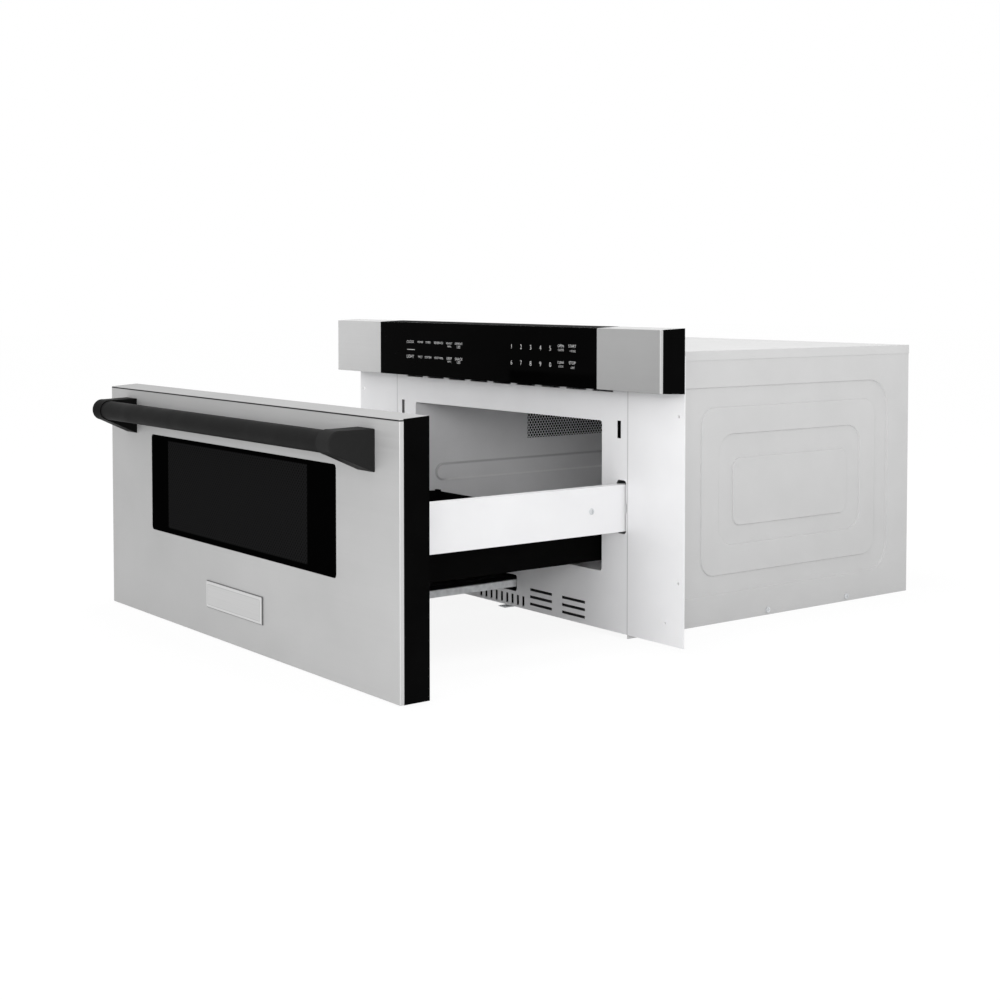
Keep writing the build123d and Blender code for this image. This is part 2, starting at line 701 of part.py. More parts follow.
bar_radius = 13.0
bar_reach = 40.0              # bar's middle in front of the door
bar_drop = 28.5               # and below its top
bar_y = door_face - bar_reach
bar_z = door_top - bar_drop
bracket_inset = 50.0          # door's end to the bracket
bracket_width = 36.0
bracket_taper = 9.0           # the bracket's end face leans in towards the bar
bracket_top = bar_z + 15.0
bracket_bottom = bar_z - 33.5
bracket_end = half_front - bracket_inset
bracket_start = bracket_end - bracket_width
nose = bar_radius + 1.3       # radius of the bracket round the bar
socket_depth = 8.0

with BuildPart() as handle_bar:
    with BuildSketch(Plane.YZ.offset(-bracket_start - socket_depth)):
        with Locations((bar_y, bar_z)):
            Circle(bar_radius)
    extrude(amount=2 * (bracket_start + socket_depth))
handle_bar.part.label = "handle_bar"
export_step(handle_bar.part, "parts/handle_bar.step")

with BuildPart() as handle_bracket:
    with BuildSketch(Plane.YZ.offset(bracket_start)):
        with Locations((bar_y, bar_z)):
            Circle(nose)
        with BuildLine():
            Polyline((bar_y + 2, bar_z + nose - 0.15), (door_face, bracket_top),
                     (door_face, bracket_bottom), (bar_y - 0.33 * nose, bar_z - 0.93 * nose),
                     close=True)
        make_face()
    extrude(amount=bracket_width)
    # end face, leaning in towards the bar
    with BuildSketch(Plane.XY.offset(bracket_bottom - 1)):
        with BuildLine():
            Polyline((bracket_end, door_face), (bracket_end + 1, door_face),
                     (bracket_end + 1, bar_y - nose - 1),
                     (bracket_end - bracket_taper, bar_y - nose - 1), close=True)
        make_face()
    extrude(amount=bracket_top - bracket_bottom + 5, mode=Mode.SUBTRACT)
    fillet(handle_bracket.faces().sort_by(Axis.X)[-1].edges().filter_by(
        lambda edge: edge.center().Y < door_face - 1), 2.0)
    # socket that takes the end of the bar
    rod_x((bracket_start - 1, bracket_start + socket_depth), bar_y, bar_z, bar_radius + 0.05,
          Mode.SUBTRACT)
save_pair(handle_bracket.part, "handle_bracket")

# ---- 9. latch hooks and their switches ------------------------------------------------------

hook_reach = 25.0

with BuildPart() as latch_hook:
    with BuildSketch(Plane.YZ.offset(latch_slot_x - 1.5)):
        with BuildLine():
            Polyline((door_back, latch_slot_z - 8), (door_back + hook_reach - 9, latch_slot_z - 4),
                     (door_back + hook_reach - 9, latch_slot_z - 8),
                     (door_back + hook_reach, latch_slot_z - 1),
                     (door_back + hook_reach - 3, latch_slot_z + 5),
                     (door_back, latch_slot_z + 8), close=True)
        make_face()
    extrude(amount=3.0)
save_pair(latch_hook.part, "latch_hook")

with BuildPart() as interlock_switch:
    holder_front = 4.0
    wall = half_cavity + cavity_sheet
    # holder on the cavity's wall, open towards the slot, with three switch bodies
    box((wall, latch_slot_x - 5), (holder_front + 22, holder_front + 24),
        (latch_slot_z - 14, latch_slot_z + 10))
    box((latch_slot_x - 7, latch_slot_x - 5), (holder_front, holder_front + 46),
        (latch_slot_z - 22, latch_slot_z + 10))
    box((wall, wall + 1.5), (holder_front + 10, holder_front + 40),
        (latch_slot_z - 14, latch_slot_z + 10))
    for body_z in (latch_slot_z - 20, latch_slot_z - 8, latch_slot_z + 4):
        box((latch_slot_x - 5, latch_slot_x + 5), (holder_front + 24, holder_front + 46),
            (body_z - 3.2, body_z + 3.2))
save_pair(interlock_switch.part, "interlock_switch")

# ---- 10. tray with its glass plate ----------------------------------------------------------

tray_side_room = 7.0          # tray's rim to the cavity's wall
tray_half = half_cavity - tray_side_room
tray_bottom = cavity_floor + 12.2
tray_top = tray_bottom + 51.0
tray_wall = 1.4
tray_rim = 4.0
tray_rear = 26.0
tray_corner = 14.0
plate_thick = 5.0

with BuildPart() as tray:
    tray_middle = (door_back + tray_rear) / 2
    tray_length = tray_rear - door_back
    with BuildSketch(Plane.XY.offset(tray_bottom)):
        with Locations((0, tray_middle)):
            RectangleRounded(2 * (tray_half - tray_rim), tray_length, tray_corner)
    extrude(amount=tray_top - tray_bottom)
    with BuildSketch(Plane.XY.offset(tray_top - tray_wall)):
        with Locations((0, tray_middle)):
            RectangleRounded(2 * tray_half, tray_length, tray_corner)
    extrude(amount=tray_wall)
    with BuildSketch(Plane.XY.offset(tray_bottom + tray_wall)):
        with Locations((0, tray_middle)):
            RectangleRounded(2 * (tray_half - tray_rim - tray_wall), tray_length - 2 * tray_wall,
                             tray_corner - tray_wall)
    extrude(amount=tray_top - tray_bottom, mode=Mode.SUBTRACT)
    # feet that tie the front wall to the door's back
    for side in (-1, 1):
        box((side * 130 - 20, side * 130 + 20), (door_back, door_back + tray_wall),
            (tray_bottom - 8, tray_bottom + 12))
    # small stops on the rear wall's rim
    for side in (-1, 1):
        stop_x = side * (tray_half - 16.5)
        box((stop_x - 4.5, stop_x + 4.5), (tray_rear - 5, tray_rear), (tray_top, tray_top + 2.5))
tray.part.label = "tray"
export_step(tray.part, "parts/tray.step")

with BuildPart() as tray_plate:
    with BuildSketch(Plane.XY.offset(tray_bottom + tray_wall)):
        with Locations((0, tray_middle)):
            RectangleRounded(2 * (tray_half - tray_rim - tray_wall) - 2,
                             tray_length - 2 * tray_wall - 2, tray_corner - tray_wall)
    extrude(amount=plate_thick)
    fillet(tray_plate.faces().sort_by(Axis.Z)[-1].edges(), 1.0)
tray_plate.part.label = "tray_plate"
export_step(tray_plate.part, "parts/tray_plate.step")

# ---- 11. centre rail, rack and pinion --------------------------------------------------------

centre_half = 30.0
centre_bottom = 33.8
centre_top = 43.5
centre_sheet = 1.5
centre_tail = 120.0
guide_half = 26.0
guide_top = 48.3

gear_module = 1.5
pinion_teeth = 18
pressure_angle = 20.0
tooth_play = 0.2              # thinning of every tooth, so that the flanks run free
gear_face = 12.0
pinion_y = 80.0
shaft_radius = 3.0
shaft_fit = 0.05

gear_pitch = pi * gear_module
pitch_radius = gear_module * pinion_teeth / 2
base_radius = pitch_radius * cos(radians(pressure_angle))
tip_radius = pitch_radius + gear_module
root_radius = pitch_radius - 1.25 * gear_module
rack_root = centre_bottom
pitch_line = rack_root - 1.25 * gear_module
rack_tip = pitch_line - gear_module
pinion_z = pitch_line - pitch_radius
rack_rear = pinion_y + 5.5 * gear_pitch      # whole teeth from the pinion: they mesh at rest
rack_teeth = int((drawer_travel + 40) / gear_pitch) + 1
rack_front = rack_rear - rack_teeth * gear_pitch

with BuildPart() as centre_rail:
    with BuildSketch(Plane.XZ.offset(-door_back)):
        with Locations((0, (centre_bottom + centre_top) / 2)):
            Rectangle(2 * centre_half, centre_top - centre_bottom)
        with Locations((0, (centre_bottom + centre_top) / 2 - centre_sheet)):
            Rectangle(2 * (centre_half - centre_sheet), centre_top - centre_bottom,
                      mode=Mode.SUBTRACT)
    extrude(amount=-(centre_tail - door_back))
    # lip that screws to the door's back
    with BuildSketch(Plane.XZ.offset(-door_back)):
        with Locations((0, (centre_bottom + centre_top) / 2 - 0.5)):
            Rectangle(2 * centre_half, centre_top - centre_bottom + 1)
    extrude(amount=-centre_sheet)
centre_rail.part.label = "centre_rail"
export_step(centre_rail.part, "parts/centre_rail.step")

with BuildPart() as rail_guide:
    with BuildSketch(Plane.XZ.offset(-door_back)):
        with Locations((0, (centre_top + guide_top) / 2)):
            RectangleRounded(2 * guide_half, guide_top - centre_top, 1.0)
            with GridLocations(2 * guide_half - 15, 0, 2, 1):
                Rectangle(7.0, 1.6)
    extrude(amount=-(centre_tail - 4 - door_back))
    with BuildSketch(Plane.XY.offset(guide_top)):
        with Locations((0, (centre_tail + door_back) / 2)):
            with GridLocations(0, 60.0, 1, 8):
                SlotOverall(40.0, 12.0, rotation=90)
    extrude(amount=-2.0, mode=Mode.SUBTRACT)
rail_guide.part.label = "rail_guide"
export_step(rail_guide.part, "parts/rail_guide.step")

with BuildPart() as drive_rack:
    # bar under the rail's web, then trapezoid teeth that point down
    lean = tan(radians(pressure_angle))
    half_tooth = gear_pitch / 4 - tooth_play / 2
    with BuildSketch(Plane.YZ.offset(-gear_face / 2)):
        with BuildLine():
            Polyline((rack_front, rack_root), (rack_rear, rack_root),
                     (rack_rear, centre_top - centre_sheet),
                     (rack_front, centre_top - centre_sheet), close=True)
        make_face()
        for tooth in range(rack_teeth):
            tooth_y = rack_rear - (tooth + 0.5) * gear_pitch
            root_half = half_tooth + (rack_root - pitch_line) * lean
            tip_half = half_tooth - (pitch_line - rack_tip) * lean
            with BuildLine():
                Polyline((tooth_y - root_half, rack_root + 0.1), (tooth_y + root_half, rack_root + 0.1),
                         (tooth_y + root_half, rack_root), (tooth_y + tip_half, rack_tip),
                         (tooth_y - tip_half, rack_tip), (tooth_y - root_half, rack_root),
                         close=True)
            make_face()
    extrude(amount=gear_face)
drive_rack.part.label = "drive_rack"
export_step(drive_rack.part, "parts/drive_rack.step")


def involute_point(radius):
    """Roll angle of the flank at a radius, measured from where it leaves the base circle."""
    roll = max((radius / base_radius) ** 2 - 1, 0) ** 0.5
    return roll - atan(roll)


with BuildPart() as drive_pinion:
    flank_radii = [base_radius + (tip_radius - base_radius) * step / 5 for step in range(6)]
    tooth_half = pi / (2 * pinion_teeth) - tooth_play / (2 * pitch_radius)
    flank_start = tooth_half + involute_point(pitch_radius)
    with BuildSketch(Plane.YZ.offset(-gear_face / 2 + 1)):
        with Locations((pinion_y, pinion_z)):
            Circle(root_radius)
        for tooth in range(pinion_teeth):
            # a gap points straight up, where a tooth of the rack stands in it
            middle = pi / 2 + (tooth + 0.5) * 2 * pi / pinion_teeth
            left_flank = [(root_radius - 0.2, middle + flank_start)]
            right_flank = [(root_radius - 0.2, middle - flank_start)]
            for radius in flank_radii:
                spread = flank_start - involute_point(radius)
                left_flank.append((radius, middle + spread))
                right_flank.append((radius, middle - spread))
            outline = [(pinion_y + radius * cos(angle), pinion_z + radius * sin(angle))
                       for radius, angle in left_flank + right_flank[::-1]]
            with BuildLine():
                Polyline(*outline, close=True)
            make_face()
    extrude(amount=gear_face - 2)
    rod_x((-gear_face / 2 + 0.5, gear_face / 2 - 0.5), pinion_y, pinion_z, 7.0)
    rod_x((-gear_face, gear_face), pinion_y, pinion_z, shaft_radius + shaft_fit, Mode.SUBTRACT)
drive_pinion.part.label = "drive_pinion"
export_step(drive_pinion.part, "parts/drive_pinion.step")

cheek = 1.5
cheek_x = gear_face / 2 + 1.0
gearbox_y = (pinion_y - 20, pinion_y + 30)

with BuildPart() as motor_bracket:
    for near, far in ((-cheek_x - cheek, -cheek_x), (cheek_x, cheek_x + cheek)):
        box((near, far), (gearbox_y[0] - 2, gearbox_y[1] + 2), (frame_sheet, pinion_z + 12))
    box((-cheek_x - cheek - 12, cheek_x + cheek), (gearbox_y[0] - 2, gearbox_y[1] + 2),
        (frame_sheet, frame_sheet + cheek))
    rod_x((cheek_x - 1, cheek_x + cheek + 1), pinion_y, pinion_z, 6.0, Mode.SUBTRACT)
    rod_x((-cheek_x - cheek - 1, -cheek_x + 1), pinion_y, pinion_z, shaft_radius + shaft_fit,
          Mode.SUBTRACT)
motor_bracket.part.label = "motor_bracket"
export_step(motor_bracket.part, "parts/motor_bracket.step")

with BuildPart() as drawer_motor:
    gearbox_x = (cheek_x + cheek, cheek_x + cheek + 34)
    box(gearbox_x, gearbox_y, (frame_sheet, pinion_z + 12))
    fillet(drawer_motor.edges().filter_by(Axis.X), 4.0)
    rod_x((gearbox_x[1], gearbox_x[1] + 46), pinion_y + 8, pinion_z - 1, 14.0)
    rod_x((gearbox_x[1] + 46, gearbox_x[1] + 49), pinion_y + 8, pinion_z - 1, 6.0)
    rod_x((cheek_x - 1 + cheek, gearbox_x[0]), pinion_y, pinion_z, 5.5)
    rod_x((-cheek_x - cheek - 1, gearbox_x[0]), pinion_y, pinion_z, shaft_radius)
drawer_motor.part.label = "drawer_motor"
export_step(drawer_motor.part, "parts/drawer_motor.step")

# ---- 12. control panel -----------------------------------------------------------------------

panel_flare = 1.6             # draft of the housing's top and underside towards the rear
glass_left = -(half_front - 124.9)
glass_right = half_front - 121.2
cap_sheet = 1.0
cap_return = 4.5              # folded edges at the cap's end, top and underside
panel_glass = 3.0
housing_wall = 3.0
panel_middle = (panel_bottom + panel_top) / 2
housing_face = panel_face + cap_sheet
glass_middle = (glass_left + glass_right) / 2
cap_ranges = ((-half_front, glass_left - part_gap), (glass_right + part_gap, half_front))

with BuildPart() as control_housing:
    with BuildSketch(Plane.XZ.offset(-housing_face)):
        with Locations((0, panel_middle)):
            Rectangle(front_width, panel_height)
    with BuildSketch(Plane.XZ.offset(-frame_face)):
        with Locations((0, panel_middle)):
            Rectangle(front_width, panel_height + 2 * panel_flare)
    loft()
    # hollow with a rear wall, which is open where the frame closes it
    box((-half_front + housing_wall, half_front - housing_wall),
        (housing_face + 4, frame_face - housing_wall),
        (panel_bottom + housing_wall, panel_top - housing_wall), Mode.SUBTRACT)
    box((-half_front + 20, half_front - 20), (frame_face - housing_wall - 1, frame_face + 1),
        (panel_bottom + 9, case_height - 6), Mode.SUBTRACT)
    # seats of the caps' folded edges
    for cap_start, cap_end in cap_ranges:
        box((cap_start - part_gap, cap_end + part_gap), (housing_face - 1, panel_face + cap_return),
            (panel_bottom - 5, panel_bottom + cap_sheet), Mode.SUBTRACT)
        box((cap_start - part_gap, cap_end + part_gap), (housing_face - 1, panel_face + cap_return),
            (panel_top - cap_sheet, panel_top + 5), Mode.SUBTRACT)
        outer = max(cap_end, -cap_start)
        side = 1 if cap_end > 0 else -1
        end_seat = sorted((side * (outer - cap_sheet), side * (outer + 5)))
        box(end_seat, (housing_face - 1, panel_face + cap_return), (panel_bottom - 1, panel_top + 1),
            Mode.SUBTRACT)
    # seat of the glass, and the opening behind it
    box((glass_left - part_gap, glass_right + part_gap), (housing_face - 1, panel_face + panel_glass),
        (panel_bottom - 1, panel_top + 1), Mode.SUBTRACT)
    box((glass_left + 8, glass_right - 8), (housing_face - 1, housing_face + 5),
        (panel_bottom + 7, panel_top - 7), Mode.SUBTRACT)
control_housing.part.label = "control_housing"
export_step(control_housing.part, "parts/control_housing.step")

with BuildPart() as control_glass:
    with BuildSketch(Plane.XZ.offset(-panel_face)):
        with Locations((glass_middle, panel_middle)):
            Rectangle(glass_right - glass_left, panel_height)
    extrude(amount=-panel_glass)
    chamfer(control_glass.faces().sort_by(Axis.Y)[0].edges(), 0.4)
control_glass.part.label = "control_glass"
export_step(control_glass.part, "parts/control_glass.step")

for cap_name, (cap_start, cap_end) in zip(("left", "right"), cap_ranges):
    with BuildPart() as control_cap:
        box((cap_start, cap_end), (panel_face, panel_face + cap_return), (panel_bottom, panel_top))
        fillet(control_cap.faces().sort_by(Axis.Y)[0].edges(), 0.5)
        # hollow behind, and open towards the glass
        inner_start = cap_start - 1 if cap_start > 0 else cap_start + cap_sheet
        inner_end = cap_end + 1 if cap_start < 0 else cap_end - cap_sheet
        box((inner_start, inner_end), (housing_face, panel_face + cap_return + 1),
            (panel_bottom + cap_sheet, panel_top - cap_sheet), Mode.SUBTRACT)
    control_cap.part.label = "control_cap_" + cap_name
    export_step(control_cap.part, "parts/control_cap_" + cap_name + ".step")

board_sheet = 1.6
board_margin = 9.0
display_width = 80.0
display_height = 35.0
display_depth = 8.0
relay_count = 4
relay_pitch = 30.0
relay_width = 20.0
relay_height = 18.0
relay_depth = 14.0

with BuildPart() as control_board:
    board_y = (panel_face + panel_glass, panel_face + panel_glass + board_sheet)
    box((glass_left + board_margin, glass_right - board_margin), board_y,
        (panel_bottom + board_margin, panel_top - board_margin))
    # display and relay blocks on the back
    box((glass_middle + 18 - display_width / 2, glass_middle + 18 + display_width / 2),
        (board_y[1], board_y[1] + display_depth),
        (panel_middle - display_height / 2, panel_middle + display_height / 2))
    relay_start = glass_right - 159.0
    for relay in range(relay_count):
        relay_x = relay_start + relay * relay_pitch
        box((relay_x, relay_x + relay_width), (board_y[1], board_y[1] + relay_depth),
            (panel_middle - relay_height / 2, panel_middle + relay_height / 2))
control_board.part.label = "control_board"
export_step(control_board.part, "parts/control_board.step")

# ---- 13. microwave feed on the cavity's roof --------------------------------------------------

roof_top = cavity_roof + cavity_sheet
feed_half = stirrer_hole + 14.0
feed_y = (stirrer_y - feed_half, stirrer_y + feed_half)
feed_height = 44.0
feed_sheet = 1.0
duct_half = 46.0
duct_rear = cavity_depth - 32.0
magnetron_z = roof_top + feed_height / 2

with BuildPart() as waveguide:
    box((-feed_half, feed_half), feed_y, (roof_top, roof_top + feed_height))
    box((-duct_half, duct_half), (feed_y[1], duct_rear), (roof_top, roof_top + feed_height))
    box((-feed_half + feed_sheet, feed_half - feed_sheet), (feed_y[0] + feed_sheet, feed_y[1] - feed_sheet),
        (roof_top - 1, roof_top + feed_height - feed_sheet), Mode.SUBTRACT)
    box((-duct_half + feed_sheet, duct_half - feed_sheet), (feed_y[1] - 2, duct_rear - feed_sheet),
        (roof_top - 1, roof_top + feed_height - feed_sheet), Mode.SUBTRACT)
    # foot flange on the roof
    with BuildSketch(Plane.XY.offset(roof_top)):
        with Locations((0, stirrer_y)):
            Rectangle(2 * feed_half + 20, feed_y[1] - feed_y[0] + 20)
            Rectangle(2 * feed_half - 2 * feed_sheet, feed_y[1] - feed_y[0] - 2 * feed_sheet,
                      mode=Mode.SUBTRACT)
    extrude(amount=feed_sheet)
    box((-duct_half + feed_sheet, duct_half - feed_sheet), (feed_y[1] - 2, feed_y[1] + 12),
        (roof_top - 1, roof_top + feed_height - feed_sheet), Mode.SUBTRACT)
    # holes for the magnetron's aerial and the stirrer's shaft
    rod_y((duct_rear - 3, duct_rear + 1), 0, magnetron_z, 10.0, Mode.SUBTRACT)
    with Locations((0, stirrer_y, roof_top + feed_height)):
        Cylinder(4.0, 6.0, mode=Mode.SUBTRACT)
waveguide.part.label = "waveguide"
export_step(waveguide.part, "parts/waveguide.step")

with BuildPart() as waveguide_cover:
    with BuildSketch(Plane.XY.offset(cavity_roof)):
        with Locations((0, stirrer_y)):
            RectangleRounded(2 * stirrer_hole + 24, 2 * stirrer_hole + 24, 12.0)
    extrude(amount=-1.2)
waveguide_cover.part.label = "waveguide_cover"
export_step(waveguide_cover.part, "parts/waveguide_cover.step")

aerial_z = roof_top + 8.0
aerial_shaft = 2.5
aerial_hub = 9.0
aerial_reach = stirrer_hole   # tip of a blade from the shaft
blade_width = 22.0
blade_sheet = 1.2

with BuildPart() as stirrer_antenna:
    with Locations((0, stirrer_y, aerial_z)):
        Cylinder(aerial_hub, 3.0)
    blade_length = aerial_reach - aerial_hub + 3
    blade_centre = aerial_reach - blade_length / 2
    for blade in range(3):
        turn = 2 * pi * blade / 3
        with Locations(Location((blade_centre * cos(turn), stirrer_y + blade_centre * sin(turn),
                                 aerial_z), (0, 0, 120.0 * blade))):
            Box(blade_length, blade_width, blade_sheet)
    with Locations((0, stirrer_y, aerial_z + 4.5)):
        Cylinder(6.0, 9.0)
    with Locations((0, stirrer_y, aerial_z + 4)):
        Cylinder(aerial_shaft + shaft_fit, 30.0, mode=Mode.SUBTRACT)
stirrer_antenna.part.label = "stirrer_antenna"
export_step(stirrer_antenna.part, "parts/stirrer_antenna.step")

with BuildPart() as stirrer_motor:
    feed_top = roof_top + feed_height
    with Locations((0, stirrer_y, feed_top + 9)):
        Cylinder(25.0, 18.0)
    box((-34, 34), (stirrer_y - 8, stirrer_y + 8), (feed_top, feed_top + 1.5))
    box((-8, 8), (stirrer_y + 18, stirrer_y + 34), (feed_top + 3, feed_top + 14))
    with Locations((0, stirrer_y, (aerial_z + feed_top) / 2)):
        Cylinder(aerial_shaft, feed_top - aerial_z)
stirrer_motor.part.label = "stirrer_motor"
export_step(stirrer_motor.part, "parts/stirrer_motor.step")

yoke_half = 44.0
yoke_length = 78.0
yoke_drop = 21.0
yoke_rise = 36.0
yoke_plate = 3.0
anode_radius = 16.0
fin_count = 9
fin_pitch = 5.5
fin_sheet = 0.8
filter_box_half = 22.0
filter_box_length = 30.0

with BuildPart() as magnetron:
    yoke_y = (duct_rear, duct_rear + yoke_length)
    yoke_z = (magnetron_z - yoke_drop, magnetron_z + yoke_rise)
    box((-yoke_half, yoke_half), yoke_y, yoke_z)
    box((-yoke_half - 1, yoke_half + 1), (yoke_y[0] + yoke_plate, yoke_y[1] - yoke_plate),
        (yoke_z[0] + 2, yoke_z[1] - 2), Mode.SUBTRACT)
    rod_y(yoke_y, 0, magnetron_z + 6, anode_radius)
    fin_start = (yoke_y[0] + yoke_y[1] - (fin_count - 1) * fin_pitch) / 2
    for fin in range(fin_count):
        fin_y = fin_start + fin * fin_pitch
        box((4 - yoke_half, yoke_half - 4), (fin_y, fin_y + fin_sheet), yoke_z)
    box((-filter_box_half, filter_box_half), (yoke_y[1], yoke_y[1] + filter_box_length),
        (yoke_z[0] + 5, yoke_z[1] - 8))
    rod_y((yoke_y[0] - 18, yoke_y[0] + 4), 0, magnetron_z, 8.0)
magnetron.part.label = "magnetron"
export_step(magnetron.part, "parts/magnetron.step")

# ---- 14. behind the cavity --------------------------------------------------------------------

bay_middle = (cavity_rear + rear_inner) / 2

core_x = half_case - 160.5
core_y = bay_middle - 14.0
core_width = 104.0
core_depth = 64.0
core_height = 86.0
core_limb = 20.0
core_lift = 2.0
coil_bulge = 12.0             # how far the coils stand out of the core
mount_overhang = 14.0

with BuildPart() as hv_transformer:
    core_z = (frame_sheet + core_lift, frame_sheet + core_lift + core_height)
    x_range = (core_x - core_width / 2, core_x + core_width / 2)
    y_range = (core_y - core_depth / 2, core_y + core_depth / 2)
    window = (core_width - 3 * core_limb + 8) / 2
    box(x_range, y_range, core_z)
    for window_x in (x_range[0] + core_limb - 2, x_range[1] - core_limb + 2 - window):
        box((window_x, window_x + window), (y_range[0] - 1, y_range[1] + 1),
            (core_z[0] + core_limb, core_z[1] - core_limb), Mode.SUBTRACT)
    box((x_range[0] + core_limb + 2, x_range[1] - core_limb - 2),
        (y_range[0] - coil_bulge, y_range[1] + coil_bulge),
        (core_z[0] + core_limb + 2, core_z[1] - core_limb - 2))
    box((x_range[0] - mount_overhang, x_range[1] + mount_overhang), (y_range[0] + 4, y_range[1] - 4),
        (frame_sheet, core_z[0]))
hv_transformer.part.label = "hv_transformer"
export_step(hv_transformer.part, "parts/hv_transformer.step")

can_x = half_case - 57.5
can_y = bay_middle - 4.25
can_length = 86.0
can_width = 46.0
can_height = 92.0
strap_height = 16.0

with BuildPart() as hv_capacitor:
    with BuildSketch(Plane.XY.offset(frame_sheet)):
        with Locations((can_x, can_y)):
            SlotOverall(can_length, can_width, rotation=90)
    extrude(amount=can_height)
    strap_z = frame_sheet + can_height / 2
    box((can_x - can_width / 2 - 2, can_x + can_width / 2 + 2), (can_y - 8, can_y + 8),
        (strap_z - strap_height / 2, strap_z + strap_height / 2))
    for terminal in (-12, 12):
        with Locations((can_x, can_y + terminal, frame_sheet + can_height + 4)):
            Cylinder(3.0, 8.0)
hv_capacitor.part.label = "hv_capacitor"
export_step(hv_capacitor.part, "parts/hv_capacitor.step")

filter_x = -(half_case - 132.5)
filter_y = bay_middle - 4.25
filter_size = 80.0
filter_lift = 8.0
filter_sheet = 1.6
filter_foot = 6.0             # foot's middle from the board's edge

with BuildPart() as noise_filter:
    half_filter = filter_size / 2
    board_top = frame_sheet + filter_lift + filter_sheet
    box((filter_x - half_filter, filter_x + half_filter),
        (filter_y - half_filter, filter_y + half_filter), (board_top - filter_sheet, board_top))
    foot_reach = half_filter - filter_foot
    with Locations((filter_x, filter_y, frame_sheet + filter_lift / 2)):
        with GridLocations(2 * foot_reach, 2 * foot_reach, 2, 2):
            Cylinder(3.0, filter_lift)
    # choke, relay and capacitor on the board
    with Locations((filter_x, filter_y - 10, board_top + 8)):
        Cylinder(15.0, 17.0)
    box((filter_x + 15, filter_x + 32), (filter_y + 10, filter_y + 32), (board_top - 1, board_top + 16))
    box((filter_x - 32, filter_x - 10), (filter_y + 10, filter_y + 30), (board_top - 1, board_top + 12))
noise_filter.part.label = "noise_filter"
export_step(noise_filter.part, "parts/noise_filter.step")

fan_rear = rear_inner
fan_front = fan_rear - 42.0
rotor_y = (fan_rear - 32.0, fan_rear - 12.0)
rotor_radius = 48.0
hub_radius = 14.0
fan_shaft = 2.5
fan_frame_half = rotor_radius + 10.0
fan_motor_radius = 19.8

with BuildPart() as fan_housing:
    box((fan_x - fan_frame_half, fan_x + fan_frame_half), (fan_front, fan_rear),
        (fan_z - fan_frame_half, fan_z + fan_frame_half))
    fillet(fan_housing.edges().filter_by(Axis.Y), 8.0)
    rod_y((fan_front - 1, fan_rear + 1), fan_x, fan_z, rotor_radius + 2.0, Mode.SUBTRACT)
    # three arms that hold the motor in the middle
    for arm in range(3):
        turn = radians(90 + 120 * arm)
        with Locations(Location((fan_x + 37 * cos(turn), fan_front + 1.5, fan_z + 37 * sin(turn)),
                                (0, -(90 + 120.0 * arm), 0))):
            Box(36.0, 3.0, 8.0)
    rod_y((fan_front, fan_front + 3), fan_x, fan_z, fan_motor_radius + 3.2)
    rod_y((fan_front - 1, fan_front + 4), fan_x, fan_z, fan_motor_radius + 0.2, Mode.SUBTRACT)
fan_housing.part.label = "fan_housing"
export_step(fan_housing.part, "parts/fan_housing.step")

with BuildPart() as fan_motor:
    rod_y((fan_front - 22, fan_front + 5), fan_x, fan_z, fan_motor_radius)
    rod_y((fan_front + 5, fan_front + 7), fan_x, fan_z, 7.0)
    rod_y((fan_front + 7, rotor_y[1] - 4), fan_x, fan_z, fan_shaft)
    box((fan_x - 10, fan_x + 10), (fan_front - 18, fan_front - 4), (fan_z + 16, fan_z + 25))
fan_motor.part.label = "fan_motor"
export_step(fan_motor.part, "parts/fan_motor.step")

with BuildPart() as fan_rotor:
    rod_y(rotor_y, fan_x, fan_z, hub_radius)
    for blade in range(5):
        turn = radians(72 * blade)
        blade_x = fan_x + (rotor_radius + hub_radius) / 2 * cos(turn)
        blade_z = fan_z + (rotor_radius + hub_radius) / 2 * sin(turn)
        blade_plane = Plane((blade_x, (rotor_y[0] + rotor_y[1]) / 2, blade_z),
                            x_dir=(cos(turn), 0, sin(turn)), z_dir=(-sin(turn), 0, cos(turn)))
        with Locations(blade_plane.location):
            Box(rotor_radius - hub_radius + 1, 17.0, 1.6, rotation=(32, 0, 0))
    rod_y((rotor_y[0] - 1, rotor_y[1] - 3.5), fan_x, fan_z, fan_shaft + shaft_fit, Mode.SUBTRACT)
fan_rotor.part.label = "fan_rotor"
export_step(fan_rotor.part, "parts/fan_rotor.step")

with BuildPart() as oven_lamp:
    wall = half_cavity + cavity_sheet
    box((wall, wall + 1.5), (lamp_y - 22, lamp_y + 22), (lamp_z - 16, lamp_z + 16))
    rod_x((wall, wall + 26), lamp_y, lamp_z, 13.0)
    rod_x((half_cavity - 0.5, wall + 4), lamp_y, lamp_z, 9.0)
oven_lamp.part.label = "oven_lamp"
export_step(oven_lamp.part, "parts/oven_lamp.step")

with BuildPart() as cord_gland:
    rod_y((rear_inner - 8, rear_inner), gland_x, gland_z, 12.5)
    rod_y((rear_inner, case_depth), gland_x, gland_z, gland_radius - 0.1)
    rod_y((case_depth, case_depth + 4), gland_x, gland_z, 12.5)
    rod_y((case_depth, case_depth + 12), gland_x, gland_z, 7.5)
    rod_y((rear_inner - 9, case_depth + 13), gland_x, gland_z, 4.0, Mode.SUBTRACT)
cord_gland.part.label = "cord_gland"
export_step(cord_gland.part, "parts/cord_gland.step")
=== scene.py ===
"""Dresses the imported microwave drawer: pressed sides, perforated grille, key legends and finishes."""

